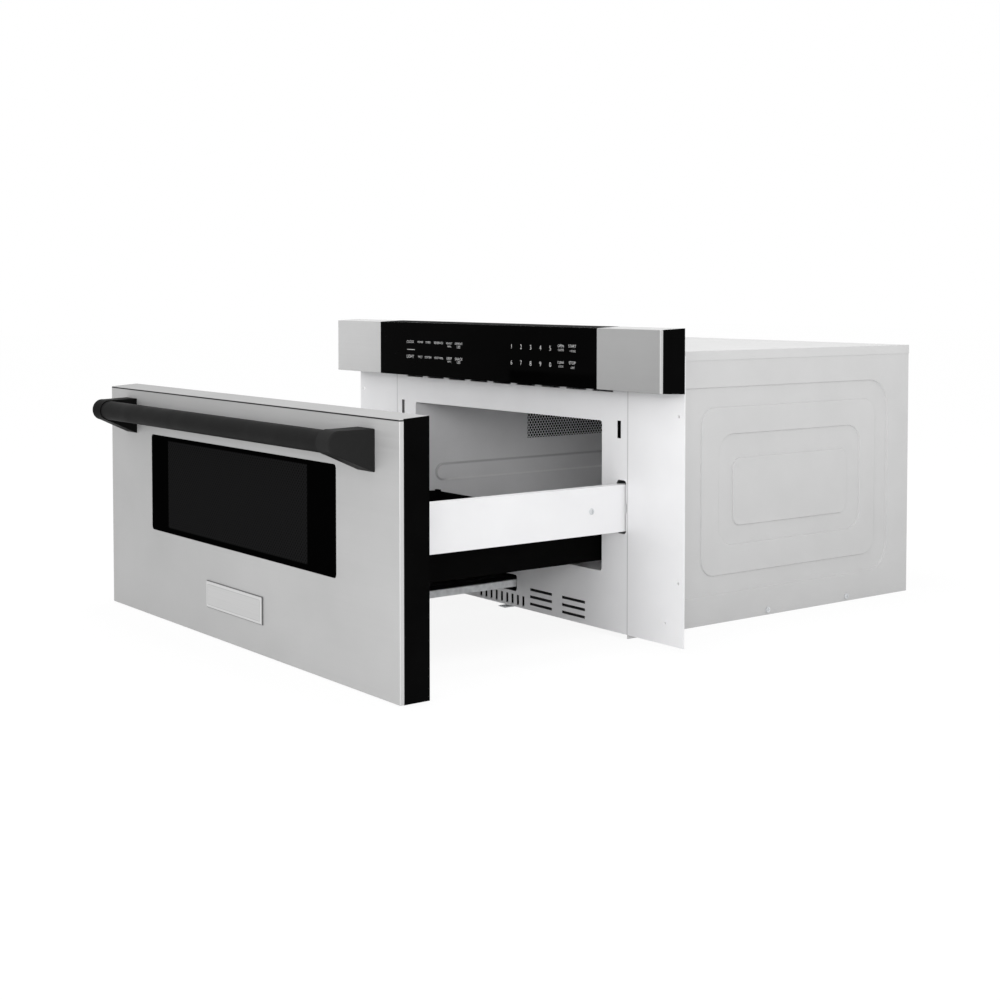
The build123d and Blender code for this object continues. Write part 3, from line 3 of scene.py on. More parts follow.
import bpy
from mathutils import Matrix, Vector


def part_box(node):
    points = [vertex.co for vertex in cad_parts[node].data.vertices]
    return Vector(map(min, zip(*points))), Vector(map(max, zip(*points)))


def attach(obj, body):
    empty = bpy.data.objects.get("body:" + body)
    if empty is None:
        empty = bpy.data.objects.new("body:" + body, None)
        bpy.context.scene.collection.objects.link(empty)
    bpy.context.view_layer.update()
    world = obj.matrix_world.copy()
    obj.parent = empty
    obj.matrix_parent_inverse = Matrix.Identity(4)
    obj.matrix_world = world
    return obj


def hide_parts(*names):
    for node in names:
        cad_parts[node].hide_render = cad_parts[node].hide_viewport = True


bl_info = {
    "name": "Microwave drawer finish",
    "version": (1, 0, 0),
    "blender": (4, 5, 0),
    "location": "3D View > Sidebar > Microwave drawer",
    "description": "Builds the pressed sides, grille, legends and finishes of a microwave drawer",
    "category": "Object",
}

from math import cos, pi, radians, sin

import bmesh
import bpy
from bpy.props import FloatProperty, FloatVectorProperty, PointerProperty
from bpy.types import Operator, Panel, PropertyGroup
from mathutils import Matrix, Vector

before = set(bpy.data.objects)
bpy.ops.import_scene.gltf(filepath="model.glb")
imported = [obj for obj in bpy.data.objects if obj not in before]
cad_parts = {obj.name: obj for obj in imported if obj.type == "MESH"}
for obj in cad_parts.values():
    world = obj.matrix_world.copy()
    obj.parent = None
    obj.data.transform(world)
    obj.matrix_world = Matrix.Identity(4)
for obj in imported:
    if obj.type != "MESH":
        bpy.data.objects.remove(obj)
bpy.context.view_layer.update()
MM = 0.001
SMOOTH_ANGLE = radians(35)

# shares and noise scales that several finishes use
PAINT_TONES = (0.975, 1.02)
BRUSH_LINES = (3, 900, 900)
BRUSH_DRIFT = (0.6, 9, 9)
TRAY_BLACK = (0.0022, 0.0022, 0.0022)

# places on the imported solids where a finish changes, in metres
HALF_WIDTH = 0.38
FRONT_FOLD = (0.3790, 0.3795)
DOOR_TOP_SEAM = (0.3115, 0.3131)
DOOR_DEPTH = (-0.43, -0.40)
CASE_HEIGHT = 0.36
FLANGE_SEAM = 0.2726
VENT_HALF_WIDTH = 0.19
VENT_HEIGHTS = (0.008, 0.05)
LATCH_SLOT = (0.250, 0.261)
LATCH_HEIGHTS = (0.258, 0.288)
SLOT_WALL = (-1.12 * MM, -0.7 * MM)
CAP_FOIL_START = (0.2570, 0.2575)
CAP_FOIL_END = (0.3775, 0.3780)
HOUSING_TOP = (0.4040, 0.4044)
RIB_MIDDLE = (0.2155, 0.17175)
RIB_HALF = (0.1795, 0.01225)
RIB_UPPER_EDGE = (0.164, 0.176)
RIB_FRONT_EDGE = (0.060, 0.046)
CAVITY_WALL = 7.2 * MM
BADGE_BORDER = 4.5 * MM
SCREEN_MARGIN = 1.5 * MM
SCREEN_PITCH = 6.0 * MM
WINDING_HEIGHTS = (0.024, 0.068)
SIDE_SHEET = 1.0 * MM

# the perforated grille: the wall it stands on, its own sheet and the dark plate of painted shadow
# behind it
GRILLE_WALL = 8 * MM
GRILLE_LIFT = 0.55 * MM
GRILLE_SHEET = 0.3 * MM
SHADOW_PLATE_THICKNESS = 0.35 * MM
SHADOW_PLATE_DROP = 0.52 * MM


# ---- settings ------------------------------------------------------------------------------


def length(name, description, default):
    """A size in metres that a user may change."""
    return FloatProperty(
        name=name, description=description, default=default, unit="LENGTH", precision=4
    )


def colour(name, description, default):
    """A colour that a user may change."""
    return FloatVectorProperty(
        name=name, description=description, default=default, subtype="COLOR", size=3, min=0, max=1
    )


class DrawerSizes(PropertyGroup):
    """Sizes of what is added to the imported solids."""

    press_depth: length("Press depth", "Depth of the pressed rings in the side panels", 2.2 * MM)
    press_slope: length("Press slope", "Width of the rings' rounded slopes", 1.3 * MM)
    hole_pitch_along: length("Hole pitch along", "Spacing of the grille's holes in a row", 5.45 * MM)
    hole_pitch_up: length("Hole pitch up", "Spacing of the grille's rows", 4.1 * MM)
    hole_radius: length("Hole radius", "Radius of each hole in the grille", 2.1 * MM)
    digit_height: length("Digit height", "Height of the number keys' digits", 6.2 * MM)
    legend_relief: length("Legend relief", "Thickness of the printed legends", 0.06 * MM)


class DrawerColours(PropertyGroup):
    """Base colours of the finishes."""

    steel: colour("Steel", "Brushed stainless steel", (0.42, 0.42, 0.42))
    white_paint: colour("White paint", "Frame, flanges and rails", (0.84, 0.84, 0.85))
    case_paint: colour("Case paint", "Sides, top and rear of the cabinet", (0.64, 0.64, 0.64))
    enamel: colour("Enamel", "Inside of the oven", (0.82, 0.82, 0.83))
    black_plastic: colour("Black plastic", "Door frame and panel housing", (0.0022, 0.0022, 0.0022))
    powder_coat: colour("Powder coat", "Handle", (0.0118, 0.0118, 0.0118))
    black_glass: colour("Black glass", "Window and touch panel", (0.0008, 0.0008, 0.0008))
    zinc: colour("Zinc", "Slides, brackets and screws", (0.42, 0.43, 0.44))
    nylon: colour("Nylon", "Rack, pinion and fan", (0.78, 0.78, 0.75))
    legend: colour("Legend", "Printed key legends", (0.75, 0.75, 0.75))


# ---- finishes ------------------------------------------------------------------------------


class Finish:
    """One procedural material, built on Object coordinates around a Principled shader."""

    def __init__(self, name, roughness=0.5, metallic=0.0, specular=0.5):
        self.material = bpy.data.materials.new(name)
        self.material.use_nodes = True
        self.tree = self.material.node_tree
        self.shader = self.tree.nodes["Principled BSDF"]
        self.shader.inputs["Roughness"].default_value = roughness
        self.shader.inputs["Metallic"].default_value = metallic
        self.shader.inputs["Specular IOR Level"].default_value = specular
        self.place = self.tree.nodes.new("ShaderNodeTexCoord").outputs["Object"]

    def node(self, kind, **values):
        """Adds a node; values that name its inputs are set on them, the others on the node."""
        made = self.tree.nodes.new(kind)
        for key, value in values.items():
            socket_name = key.replace("_", " ").title()
            if socket_name in made.inputs:
                self.feed(made.inputs[socket_name], value)
            else:
                setattr(made, key, value)
        return made

    def feed(self, socket, value):
        """Links a socket to another node's output, or gives it a plain value."""
        if isinstance(value, bpy.types.NodeSocket):
            self.tree.links.new(value, socket)
        else:
            socket.default_value = value

    def stretched(self, scale):
        """Object coordinates scaled per axis."""
        return self.node("ShaderNodeMapping", vector=self.place, scale=scale).outputs[0]

    def noise(self, scale, detail=3.0, stretch=None):
        """Noise in object space, optionally drawn out along an axis."""
        coords = self.stretched(stretch) if stretch else self.place
        made = self.node("ShaderNodeTexNoise", vector=coords, scale=scale, detail=detail)
        return made.outputs["Fac"]

    def cells(self, scale):
        """Cell pattern in object space: the distance from each cell's middle."""
        made = self.node("ShaderNodeTexVoronoi", vector=self.place, scale=scale, feature="F1")
        return made.outputs["Distance"]

    def remap(self, value, low, high, to_low=0.0, to_high=1.0):
        """Maps a range onto another, held at its ends."""
        spans = {"from_min": low, "from_max": high, "to_min": to_low, "to_max": to_high}
        return self.node("ShaderNodeMapRange", value=value, **spans).outputs[0]

    def opened(self, noise, low=0.0, high=1.0):
        """A noise's usual span opened out to a range."""
        return self.remap(noise, 0.3, 0.7, low, high)

    def maths(self, operation, first, second=0.0):
        """One arithmetic step."""
        made = self.node("ShaderNodeMath", operation=operation)
        self.feed(made.inputs[0], first)
        self.feed(made.inputs[1], second)
        return made.outputs[0]

    def overlap(self, first, *others):
        """1 only where every mask is 1."""
        for mask in others:
            first = self.maths("MULTIPLY", first, mask)
        return first

    def axis(self, letter):
        """One of the object coordinates."""
        return self.node("ShaderNodeSeparateXYZ", vector=self.place).outputs[letter]

    def within(self, letter, low, high, edge=0.4 * MM):
        """1 between two positions on an axis, 0 outside, with a soft edge."""
        along = self.axis(letter)
        rise = self.remap(along, low - edge, low + edge)
        return self.overlap(rise, self.remap(along, high - edge, high + edge, 1.0, 0.0))

    def edge_distance(self, letters, middle, half, corner):
        """Distance in metres outwards from the edge of a rounded rectangle drawn in two object axes."""
        squares = []
        for letter, centre, reach in zip(letters, middle, half):
            away = self.maths("ABSOLUTE", self.maths("SUBTRACT", self.axis(letter), centre))
            past = self.maths("MAXIMUM", self.maths("SUBTRACT", away, reach - corner), 0.0)
            squares.append(self.maths("MULTIPLY", past, past))
        return self.maths("SUBTRACT", self.maths("SQRT", self.maths("ADD", *squares)), corner)

    def blend(self, factor, first, second):
        """Mixes two colours, either of which may be an output."""
        made = self.node("ShaderNodeMix", data_type="RGBA")
        self.feed(made.inputs["Factor"], factor)
        for socket, value in ((made.inputs[6], first), (made.inputs[7], second)):
            self.feed(socket, value if isinstance(value, bpy.types.NodeSocket) else (*value, 1.0))
        return made.outputs[2]

    def colour(self, value):
        """Base colour, plain or from an output."""
        self.feed(self.shader.inputs["Base Color"], value)
        return self

    def roughness(self, value):
        """Roughness from an output."""
        self.feed(self.shader.inputs["Roughness"], value)
        return self

    def relief(self, height, strength, distance):
        """Bump from a height; a second call adds to the first."""
        made = self.node("ShaderNodeBump", strength=strength, distance=distance, height=height)
        normal = self.shader.inputs["Normal"]
        if normal.links:
            self.feed(made.inputs["Normal"], normal.links[0].from_socket)
        self.feed(normal, made.outputs[0])
        return self


def shade(rgb, factor):
    """A lighter or darker version of a colour."""
    return tuple(min(1.0, channel * factor) for channel in rgb)


def brushed_steel(name, rgb, left=1.0, right=1.0):
    """Satin stainless sheet brushed along X, softly clouded, with painted light and shade that may lean
    across it, a painted highlight on its side returns and a painted shade line at the door's top join.
    """
    finish = Finish(name, metallic=0.35)
    lines = finish.noise(1.0, 2.0, BRUSH_LINES)
    drift = finish.noise(1.0, 2.0, BRUSH_DRIFT)
    haze = finish.noise(7.0, 4.0)
    tone = finish.maths("MULTIPLY", lines, 0.3)
    for cloud, share in ((drift, 0.25), (haze, 0.45)):
        tone = finish.maths("ADD", tone, finish.maths("MULTIPLY", cloud, share))
    # painted light and shade: the tone leans from one end of the sheet to the other
    across = finish.remap(finish.axis("X"), -HALF_WIDTH, HALF_WIDTH)
    darker, lighter = (
        finish.blend(across, shade(rgb, share * left), shade(rgb, share * right))
        for share in (0.91, 1.09)
    )
    sheet = finish.blend(finish.opened(tone), darker, lighter)
    # painted highlight along the side returns, which face the light
    fold_highlight = finish.remap(finish.maths("ABSOLUTE", finish.axis("X")), *FRONT_FOLD)
    sheet = finish.blend(fold_highlight, sheet, shade(rgb, 1.3))
    # painted shade, near black, in the narrow join at the door's top
    seam_shade = finish.overlap(finish.within("Z", *DOOR_TOP_SEAM, 0.2 * MM), finish.within("Y", *DOOR_DEPTH))
    finish.colour(finish.blend(seam_shade, sheet, shade(rgb, 0.03)))
    finish.roughness(finish.opened(lines, 0.49, 0.63))
    return finish.relief(lines, 0.10, 0.2 * MM).material


def sheet_paint(name, rgb, roughness=0.42, peel=900.0, strength=0.12, foot_shade=1.0):
    """Powder paint on sheet: orange peel, faint mottling, and painted shade that may darken it towards
    the bottom.
    """
    finish = Finish(name, specular=0.12)
    mottle = finish.opened(finish.noise(14.0, 4.0))
    height = finish.remap(finish.axis("Z"), 0.0, CASE_HEIGHT)
    # painted shade: the tone may darken towards the bottom, near the floor
    darker, lighter = (
        finish.blend(height, shade(rgb, share * foot_shade), shade(rgb, share)) for share in PAINT_TONES
    )
    finish.colour(finish.blend(mottle, darker, lighter))
    skin = finish.noise(peel, 2.0)
    finish.roughness(finish.opened(skin, roughness - 0.05, roughness + 0.07))
    return finish.relief(skin, strength, 0.4 * MM).material


def front_paint(name, rgb):
    """White paint of the front, a painted shade line where the flanges meet the frame, and painted
    shade on the walls of the vents and latch slots.
    """
    finish = Finish(name, specular=0.45)
    mottle = finish.opened(finish.noise(14.0, 4.0))
    body = finish.blend(mottle, *(shade(rgb, share) for share in PAINT_TONES))
    from_middle = finish.maths("ABSOLUTE", finish.axis("X"))
    from_seam = finish.maths("ABSOLUTE", finish.maths("SUBTRACT", from_middle, FLANGE_SEAM))
    body = finish.blend(finish.remap(from_seam, 0.3 * MM, 1.1 * MM, 0.5, 0.0), body, shade(rgb, 0.2))
    vents = finish.overlap(
        finish.within("X", -VENT_HALF_WIDTH, VENT_HALF_WIDTH), finish.within("Z", *VENT_HEIGHTS)
    )
    near, far = LATCH_SLOT
    latches = finish.maths("ADD", finish.within("X", near, far), finish.within("X", -far, -near))
    latches = finish.overlap(latches, finish.within("Z", *LATCH_HEIGHTS))
    # painted shade: the vents' and latch slots' walls go near black behind the front face
    wall = finish.remap(finish.axis("Y"), *SLOT_WALL, 0.0, 0.97)
    slot_shade = finish.overlap(finish.maths("ADD", vents, latches), wall)
    finish.colour(finish.blend(slot_shade, body, shade(rgb, 0.01)))
    skin = finish.noise(900.0, 2.0)
    finish.roughness(finish.opened(skin, 0.37, 0.49))
    return finish.relief(skin, 0.12, 0.4 * MM).material


def badge_metal(name, rgb):
    """Bright name-plate blank: brushed field, a painted highlight on its border, a painted shade line
    round the field and painted shade on its side walls.
    """
    low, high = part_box("badge_plate")
    middle, half = (low + high) / 2, (high - low) / 2
    finish = Finish(name, metallic=0.35)
    lines = finish.noise(1.0, 2.0, BRUSH_LINES)
    field = finish.blend(finish.opened(lines), shade(rgb, 0.94), shade(rgb, 1.05))
    reach = (half.x - BADGE_BORDER, half.z - BADGE_BORDER)
    inner = finish.edge_distance("XZ", (middle.x, middle.z), reach, 1.5 * MM)
    # painted highlight: the border round the field is lighter
    face = finish.blend(finish.remap(inner, 0.0, 0.4 * MM), field, shade(rgb, 1.13))
    # painted shade line along the edge of the field
    groove_shade = finish.remap(finish.maths("ABSOLUTE", inner), 0.1 * MM, 0.6 * MM, 0.45, 0.0)
    face = finish.blend(groove_shade, face, shade(rgb, 0.4))
    # painted shade on the side walls
    wall = finish.remap(finish.axis("Y"), low.y + 0.5 * MM, low.y + 0.9 * MM)
    finish.colour(finish.blend(wall, face, shade(rgb, 0.22)))
    finish.roughness(finish.opened(lines, 0.34, 0.46))
    return finish.relief(finish.remap(inner, -0.5 * MM, 0.5 * MM), 0.4, 0.4 * MM).material


def grained_plastic(name, rgb, roughness=0.55, grain=2600.0, strength=0.18, specular=0.4, foil_and_highlight=None):
    """Moulded plastic with a fine grain, and on top of the panel's housing the caps' steel, made
    lighter as a painted highlight.
    """
    finish = Finish(name, specular=specular)
    pits = finish.cells(grain)
    mottle = finish.opened(finish.noise(25.0, 3.0))
    body = finish.blend(mottle, shade(rgb, 0.85), shade(rgb, 1.2))
    if foil_and_highlight:
        across = finish.maths("ABSOLUTE", finish.axis("X"))
        started = finish.remap(across, *CAP_FOIL_START)
        ended = finish.remap(across, *CAP_FOIL_END, 1.0, 0.0)
        top = finish.remap(finish.axis("Z"), *HOUSING_TOP)
        # the caps' steel over the housing's top, lighter than the caps as a painted highlight
        body = finish.blend(finish.overlap(started, ended, top), body, foil_and_highlight)
    finish.colour(body)
    finish.roughness(finish.remap(pits, 0.0, 0.8, roughness + 0.08, roughness - 0.06))
    return finish.relief(pits, strength, 0.2 * MM).material


def powder_coat(name, rgb):
    """Matte black powder coat, a little worn where hands rub it."""
    finish = Finish(name, specular=0.014)
    skin = finish.noise(1500.0, 3.0)
    rubbed = finish.remap(finish.noise(22.0, 4.0), 0.45, 0.75)
    finish.colour(finish.blend(rubbed, rgb, shade(rgb, 1.15)))
    finish.roughness(finish.remap(rubbed, 0.0, 1.0, 0.50, 0.42))
    return finish.relief(skin, 0.14, 0.3 * MM).material


def gloss_glass(name, rgb, roughness=0.04, specular=0.006):
    """Black-backed glass with the faintest smears in its gloss."""
    finish = Finish(name, specular=specular)
    smear = finish.remap(finish.noise(9.0, 5.0, (1.0, 1.0, 2.2)), 0.35, 0.75)
    finish.colour(finish.blend(smear, rgb, shade(rgb, 1.6)))
    finish.roughness(finish.remap(smear, 0.0, 1.0, roughness, roughness + 0.05))
    return finish.material


def window_finish(name, rgb):
    """Printed black glass, with the perforated screen showing as fine dots inside its border."""
    low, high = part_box("window_screen")
    finish = Finish(name, specular=0.0)
    inside = finish.overlap(
        finish.within("X", low.x + SCREEN_MARGIN, high.x - SCREEN_MARGIN),
        finish.within("Z", low.z + SCREEN_MARGIN, high.z - SCREEN_MARGIN),
    )
    waves = [
        finish.maths("SINE", finish.maths("MULTIPLY", finish.axis(letter), 2 * pi / SCREEN_PITCH))
        for letter in "XZ"
    ]
    dots = finish.remap(finish.maths("MULTIPLY", *waves), 0.15, 0.5, 1.0, 0.0)
    screen = finish.blend(dots, (0.0033, 0.0033, 0.0033), (0.0090, 0.0090, 0.0093))
    finish.colour(finish.blend(inside, rgb, screen))
    smear = finish.remap(finish.noise(9.0, 5.0), 0.35, 0.75)
    finish.roughness(finish.remap(smear, 0.0, 1.0, 0.05, 0.10))
    return finish.material


def enamel_body(finish, rgb):
    """Speckled grey enamel's colour; its gloss and its skin go on the finish."""
    speckle = finish.remap(finish.cells(900.0), 0.10, 0.22)
    mottle = finish.opened(finish.noise(10.0, 3.0))
    finish.roughness(finish.opened(finish.noise(400.0, 2.0), 0.34, 0.46))
    finish.relief(finish.noise(500.0, 2.0), 0.08, 0.3 * MM)
    body = finish.blend(mottle, shade(rgb, 0.96), shade(rgb, 1.04))
    return finish.blend(speckle, shade(rgb, 0.88), body)


def oven_enamel(name, rgb):
    """Grey enamel with fine speckles."""
    finish = Finish(name, specular=0.4)
    return finish.colour(enamel_body(finish, rgb)).material


def cavity_enamel(name, rgb, bare):
    """Enamel inside the oven, with painted shade and painted highlight along its pressed ribs; the
    walls' outsides are bare sheet, darkened as painted shade.
    """
    low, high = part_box("cavity_body")
    finish = Finish(name, specular=0.4)
    body = enamel_body(finish, rgb)
    # painted shade along the rib's top and front edges, painted highlight along its bottom edge
    edge = finish.edge_distance("YZ", RIB_MIDDLE, RIB_HALF, RIB_HALF[1])
    line = finish.remap(finish.maths("ABSOLUTE", edge), 0.4 * MM, 2.4 * MM, 0.8, 0.0)
    upper = finish.remap(finish.axis("Z"), *RIB_UPPER_EDGE)
    front = finish.remap(finish.axis("Y"), *RIB_FRONT_EDGE)
    rib_light_and_shade = finish.blend(finish.maths("MAXIMUM", upper, front), (1.0, 1.0, 1.0), shade(rgb, 0.62))
    body = finish.blend(line, body, rib_light_and_shade)
    inside = finish.overlap(
        finish.within("X", low.x + CAVITY_WALL, high.x - CAVITY_WALL),
        finish.within("Z", low.z + CAVITY_WALL, high.z - CAVITY_WALL),
        finish.within("Y", -1.0, high.y - 0.5 * MM),
    )
    # the walls' outsides take the darkened bare sheet, a painted shade
    return finish.colour(finish.blend(inside, bare, body)).material


def zinc_plate(name, rgb, roughness=0.42, metallic=0.6):
    """Zinc plated sheet: spangle cells and fine rolling lines."""
    finish = Finish(name, metallic=metallic)
    spangle = finish.remap(finish.cells(120.0), 0.0, 0.9)
    lines = finish.noise(1.0, 2.0, (700, 4, 700))
    finish.colour(finish.blend(spangle, shade(rgb, 0.85), shade(rgb, 1.15)))
    finish.roughness(finish.opened(lines, roughness - 0.06, roughness + 0.1))
    return finish.relief(lines, 0.08, 0.2 * MM).material


def laminated_core(name, rgb):
    """Transformer: stacked laminations, with the winding's copper in the middle."""
    finish = Finish(name, metallic=0.6, roughness=0.5)
    stack, turns = (
        finish.node(
            "ShaderNodeTexWave", vector=finish.place, scale=scale, bands_direction=letter
        ).outputs["Fac"]
        for scale, letter in ((160.0, "Y"), (210.0, "Z"))
    )
    core = finish.blend(stack, shade(rgb, 0.5), shade(rgb, 0.9))
    copper = finish.blend(turns, (0.30, 0.10, 0.03), (0.55, 0.22, 0.08))
    finish.colour(finish.blend(finish.within("Z", *WINDING_HEIGHTS), core, copper))
    return finish.relief(stack, 0.3, 0.3 * MM).material


def circuit_board(name, rgb):
    """Lacquered board: tracks under the green, paler pads."""
    finish = Finish(name, roughness=0.35)
    tracks = finish.node(
        "ShaderNodeTexBrick", vector=finish.stretched((120, 120, 120)), scale=1.0, mortar_size=0.08
    ).outputs["Fac"]
    pads = finish.remap(finish.cells(160.0), 0.10, 0.16, 1.0, 0.0)
    lacquer = finish.blend(tracks, rgb, shade(rgb, 1.7))
    finish.colour(finish.blend(pads, lacquer, (0.55, 0.52, 0.42)))
    return finish.relief(tracks, 0.2, 0.2 * MM).material


def turned_shell(name, rgb):
    """Lacquered motor can with fine turning marks along X."""
    finish = Finish(name, metallic=0.4)
    marks = finish.noise(1.0, 2.0, (900, 6, 6))
    finish.colour(finish.blend(marks, shade(rgb, 0.8), shade(rgb, 1.25)))
    finish.roughness(finish.opened(marks, 0.32, 0.5))
    return finish.material


def printed_ink(name, rgb):
    """Screen-printed legend: slightly uneven ink."""
    finish = Finish(name, roughness=0.5)
    finish.colour(finish.blend(finish.opened(finish.noise(2500.0, 2.0)), shade(rgb, 0.8), rgb))
    return finish.material


def make_finishes(colours):
    """Every finish by its plain name."""
    rgb = {key: tuple(getattr(colours, key)) for key in DrawerColours.__annotations__}
    steel, zinc, case = rgb["steel"], rgb["zinc"], rgb["case_paint"]
    coat, black = rgb["powder_coat"], rgb["black_plastic"]
    # the caps' steel, made lighter as a painted highlight, for the housing's top
    foil_and_highlight = shade(steel, 1.5)
    return {
        # the door's steel is a little darker at its left end, as painted shade
        "steel": brushed_steel("brushed_stainless", steel, left=0.92),
        # the caps' steel is lighter at the left and darker at the right, as painted light and shade
        "cap_steel": brushed_steel("cap_stainless", steel, left=1.28, right=0.78),
        "badge_steel": badge_metal("badge_steel", shade(steel, 1.12)),
        "white_paint": sheet_paint("white_sheet_paint", rgb["white_paint"]),
        "front_paint": front_paint("white_front_paint", rgb["white_paint"]),
        # the cabinet's paint darkens towards the bottom as painted shade
        "case_paint": sheet_paint("case_sheet_paint", case, 0.5, 700.0, 0.2, 0.88),
        "cover_paint": sheet_paint("cover_sheet_paint", shade(case, 1.03), 0.5, 700.0, 0.2),
        "enamel": oven_enamel("oven_enamel", rgb["enamel"]),
        # the cavity's outside is zinc darkened as painted shade
        "cavity_enamel": cavity_enamel("cavity_enamel", rgb["enamel"], shade(zinc, 0.35)),
        "black_plastic": grained_plastic("black_grained_plastic", black, specular=0.006),
        "grey_plastic": grained_plastic("grey_grained_plastic", (0.10, 0.10, 0.105)),
        # the switches' plastic, darkened to near black as painted shade seen through the latch slots
        "shaded_switch_plastic": grained_plastic("dark_switch_plastic", (0.004, 0.004, 0.004), specular=0.02),
        "housing": grained_plastic("panel_housing_plastic", black, specular=0.006, foil_and_highlight=foil_and_highlight),
        "nylon": grained_plastic("moulded_nylon", rgb["nylon"], 0.45, 1800.0, 0.08),
        "powder_coat": powder_coat("handle_powder_coat", coat),
        # painted shade: the left bracket wears a darker copy of the handle's coat
        "shaded_bracket_finish": powder_coat("bracket_powder_coat", shade(coat, 0.4)),
        # painted light: the right bracket wears a lighter copy of the handle's coat
        "lighter_bracket_finish": powder_coat("cast_powder_coat", shade(coat, 1.5)),
        "panel_glass": gloss_glass("touch_panel_glass", rgb["black_glass"]),
        "window_glass": window_finish("window_glass_finish", rgb["black_glass"]),
        "tray_enamel": grained_plastic("tray_black_enamel", TRAY_BLACK, 0.35, 1500.0, 0.08, 0.008),
        "tray_glass": gloss_glass("tray_dark_glass", (0.004, 0.004, 0.0045), 0.12, 0.05),
        "zinc": zinc_plate("zinc_plated_steel", zinc),
        "pale_zinc": zinc_plate("pale_galvanised", shade(zinc, 1.9), 0.5, 0.1),
        "rail_steel": zinc_plate("centre_rail_steel", shade(zinc, 2.0), 0.5, 0.1),
        "screw_steel": zinc_plate("screw_steel", shade(zinc, 1.5), 0.35, 0.4),
        "aluminium": zinc_plate("pressed_aluminium", (0.62, 0.62, 0.63), 0.3),
        "laminated": laminated_core("laminated_core", zinc),
        "board": circuit_board("circuit_lacquer", (0.02, 0.11, 0.05)),
        "motor_shell": turned_shell("motor_lacquer", (0.06, 0.06, 0.065)),
        # near-black sheets behind the vents: painted shade
        "felt": grained_plastic("vent_felt", (0.006, 0.006, 0.006), 0.9, 900.0, 0.5, 0.0),
        "mica": grained_plastic("mica_sheet", (0.45, 0.42, 0.34), 0.6, 400.0, 0.1),
        # near-black plate behind the grille's holes: painted shadow
        "shadow": grained_plastic("dark_cavity_back", (0.002, 0.002, 0.002), 0.8, specular=0.0),
        "ink": printed_ink("legend_ink", rgb["legend"]),
    }


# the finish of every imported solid
SOLIDS_BY_FINISH = {
    "front_paint": ("front_frame", "flange_left", "flange_right"),
    "white_paint": ("drawer_rail_left", "drawer_rail_right"),
    "case_paint": ("side_panel_left", "side_panel_right", "rear_panel"),
    "cover_paint": ("top_cover",),
    "steel": ("door_skin",),
    "cap_steel": ("control_cap_left", "control_cap_right"),
    "badge_steel": ("badge_plate",),
    "enamel": ("door_inner_panel",),
    "cavity_enamel": ("cavity_body",),
    "black_plastic": ("door_frame", "rail_guide"),
    "grey_plastic": ("fan_housing", "cord_gland"),
    "shaded_switch_plastic": ("interlock_switch_left", "interlock_switch_right"),
    "housing": ("control_housing",),
    "nylon": (
        "latch_hook_left", "latch_hook_right", "drive_rack", "drive_pinion", "fan_rotor", "oven_lamp",
    ),
    "powder_coat": ("handle_bar",),
    # the brackets take darker and lighter copies of the handle's coat, as painted shade and light
    "shaded_bracket_finish": ("handle_bracket_left",),
    "lighter_bracket_finish": ("handle_bracket_right",),
    "panel_glass": ("control_glass",),
    "window_glass": ("window_glass",),
    "tray_enamel": ("tray",),
    "tray_glass": ("tray_plate",),
    "zinc": (
        "slide_outer_left", "slide_middle_left", "slide_inner_left", "slide_bracket_left",
        "slide_outer_right", "slide_middle_right", "slide_inner_right", "slide_bracket_right",
        "window_screen", "motor_bracket",
    ),
    "pale_zinc": ("base_pan",),
    "rail_steel": ("centre_rail",),
    "screw_steel": ("case_screws", "rail_screws"),
    "aluminium": ("waveguide", "magnetron", "hv_capacitor", "stirrer_antenna"),
    "laminated": ("hv_transformer",),
    "board": ("noise_filter", "control_board"),
    "motor_shell": ("drawer_motor", "fan_motor", "stirrer_motor"),
    "mica": ("waveguide_cover",),
}
NODE_FINISH = {name: finish for finish, names in SOLIDS_BY_FINISH.items() for name in names}
FINISHES = {}


def finish_named(name):
    """The material behind a plain finish name; all are made on first use."""
    if not FINISHES:
        FINISHES.update(make_finishes(bpy.context.scene.drawer_colours))
    return FINISHES[name]


# ---- mesh helpers --------------------------------------------------------------------------


def put_in_scene(name, data):
    """An object with this data, linked to the scene."""
    made = bpy.data.objects.new(name, data)
    bpy.context.scene.collection.objects.link(made)
    return made


def add_piece(name, mesh, body, finish, replaced=()):
    """Puts a finished mesh in the scene as a piece that rides on a body."""
    piece = put_in_scene(name, mesh)
    mesh.materials.clear()
    mesh.materials.append(finish_named(finish))
    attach(piece, body)
    if replaced:
        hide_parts(*replaced)
    return piece


def mesh_from(bm, name, smooth=True):
    """A mesh from a bmesh, with outward faces and edges kept crisp past the smooth angle."""
    bmesh.ops.remove_doubles(bm, verts=bm.verts, dist=1e-6)
    bmesh.ops.recalc_face_normals(bm, faces=bm.faces)
    mesh = bpy.data.meshes.new(name)
    bm.to_mesh(mesh)
    bm.free()
    if smooth:
        mesh.polygons.foreach_set("use_smooth", [True] * len(mesh.polygons))
        mesh.set_sharp_from_angle(angle=SMOOTH_ANGLE)
    return mesh


def thicken(bm, depth):
    """Gives flat faces side walls and a second face, moved along Z."""
    walls = bmesh.ops.extrude_face_region(bm, geom=bm.faces[:])
    moved = [item for item in walls["geom"] if isinstance(item, bmesh.types.BMVert)]
    bmesh.ops.translate(bm, verts=moved, vec=(0, 0, depth))


def plain_mesh(source, name):
    """The evaluated result of an object's modifiers or text as a plain mesh."""
    bpy.context.view_layer.update()
    depsgraph = bpy.context.evaluated_depsgraph_get()
    mesh = bpy.data.meshes.new_from_object(source.evaluated_get(depsgraph), depsgraph=depsgraph)
    mesh.name = name
    return mesh


def drop(thing):
    """Removes a helper object and its data."""
    data = thing.data
    bpy.data.objects.remove(thing)
    if isinstance(data, bpy.types.Mesh):
        bpy.data.meshes.remove(data)
    elif isinstance(data, bpy.types.Curve):
        bpy.data.curves.remove(data)


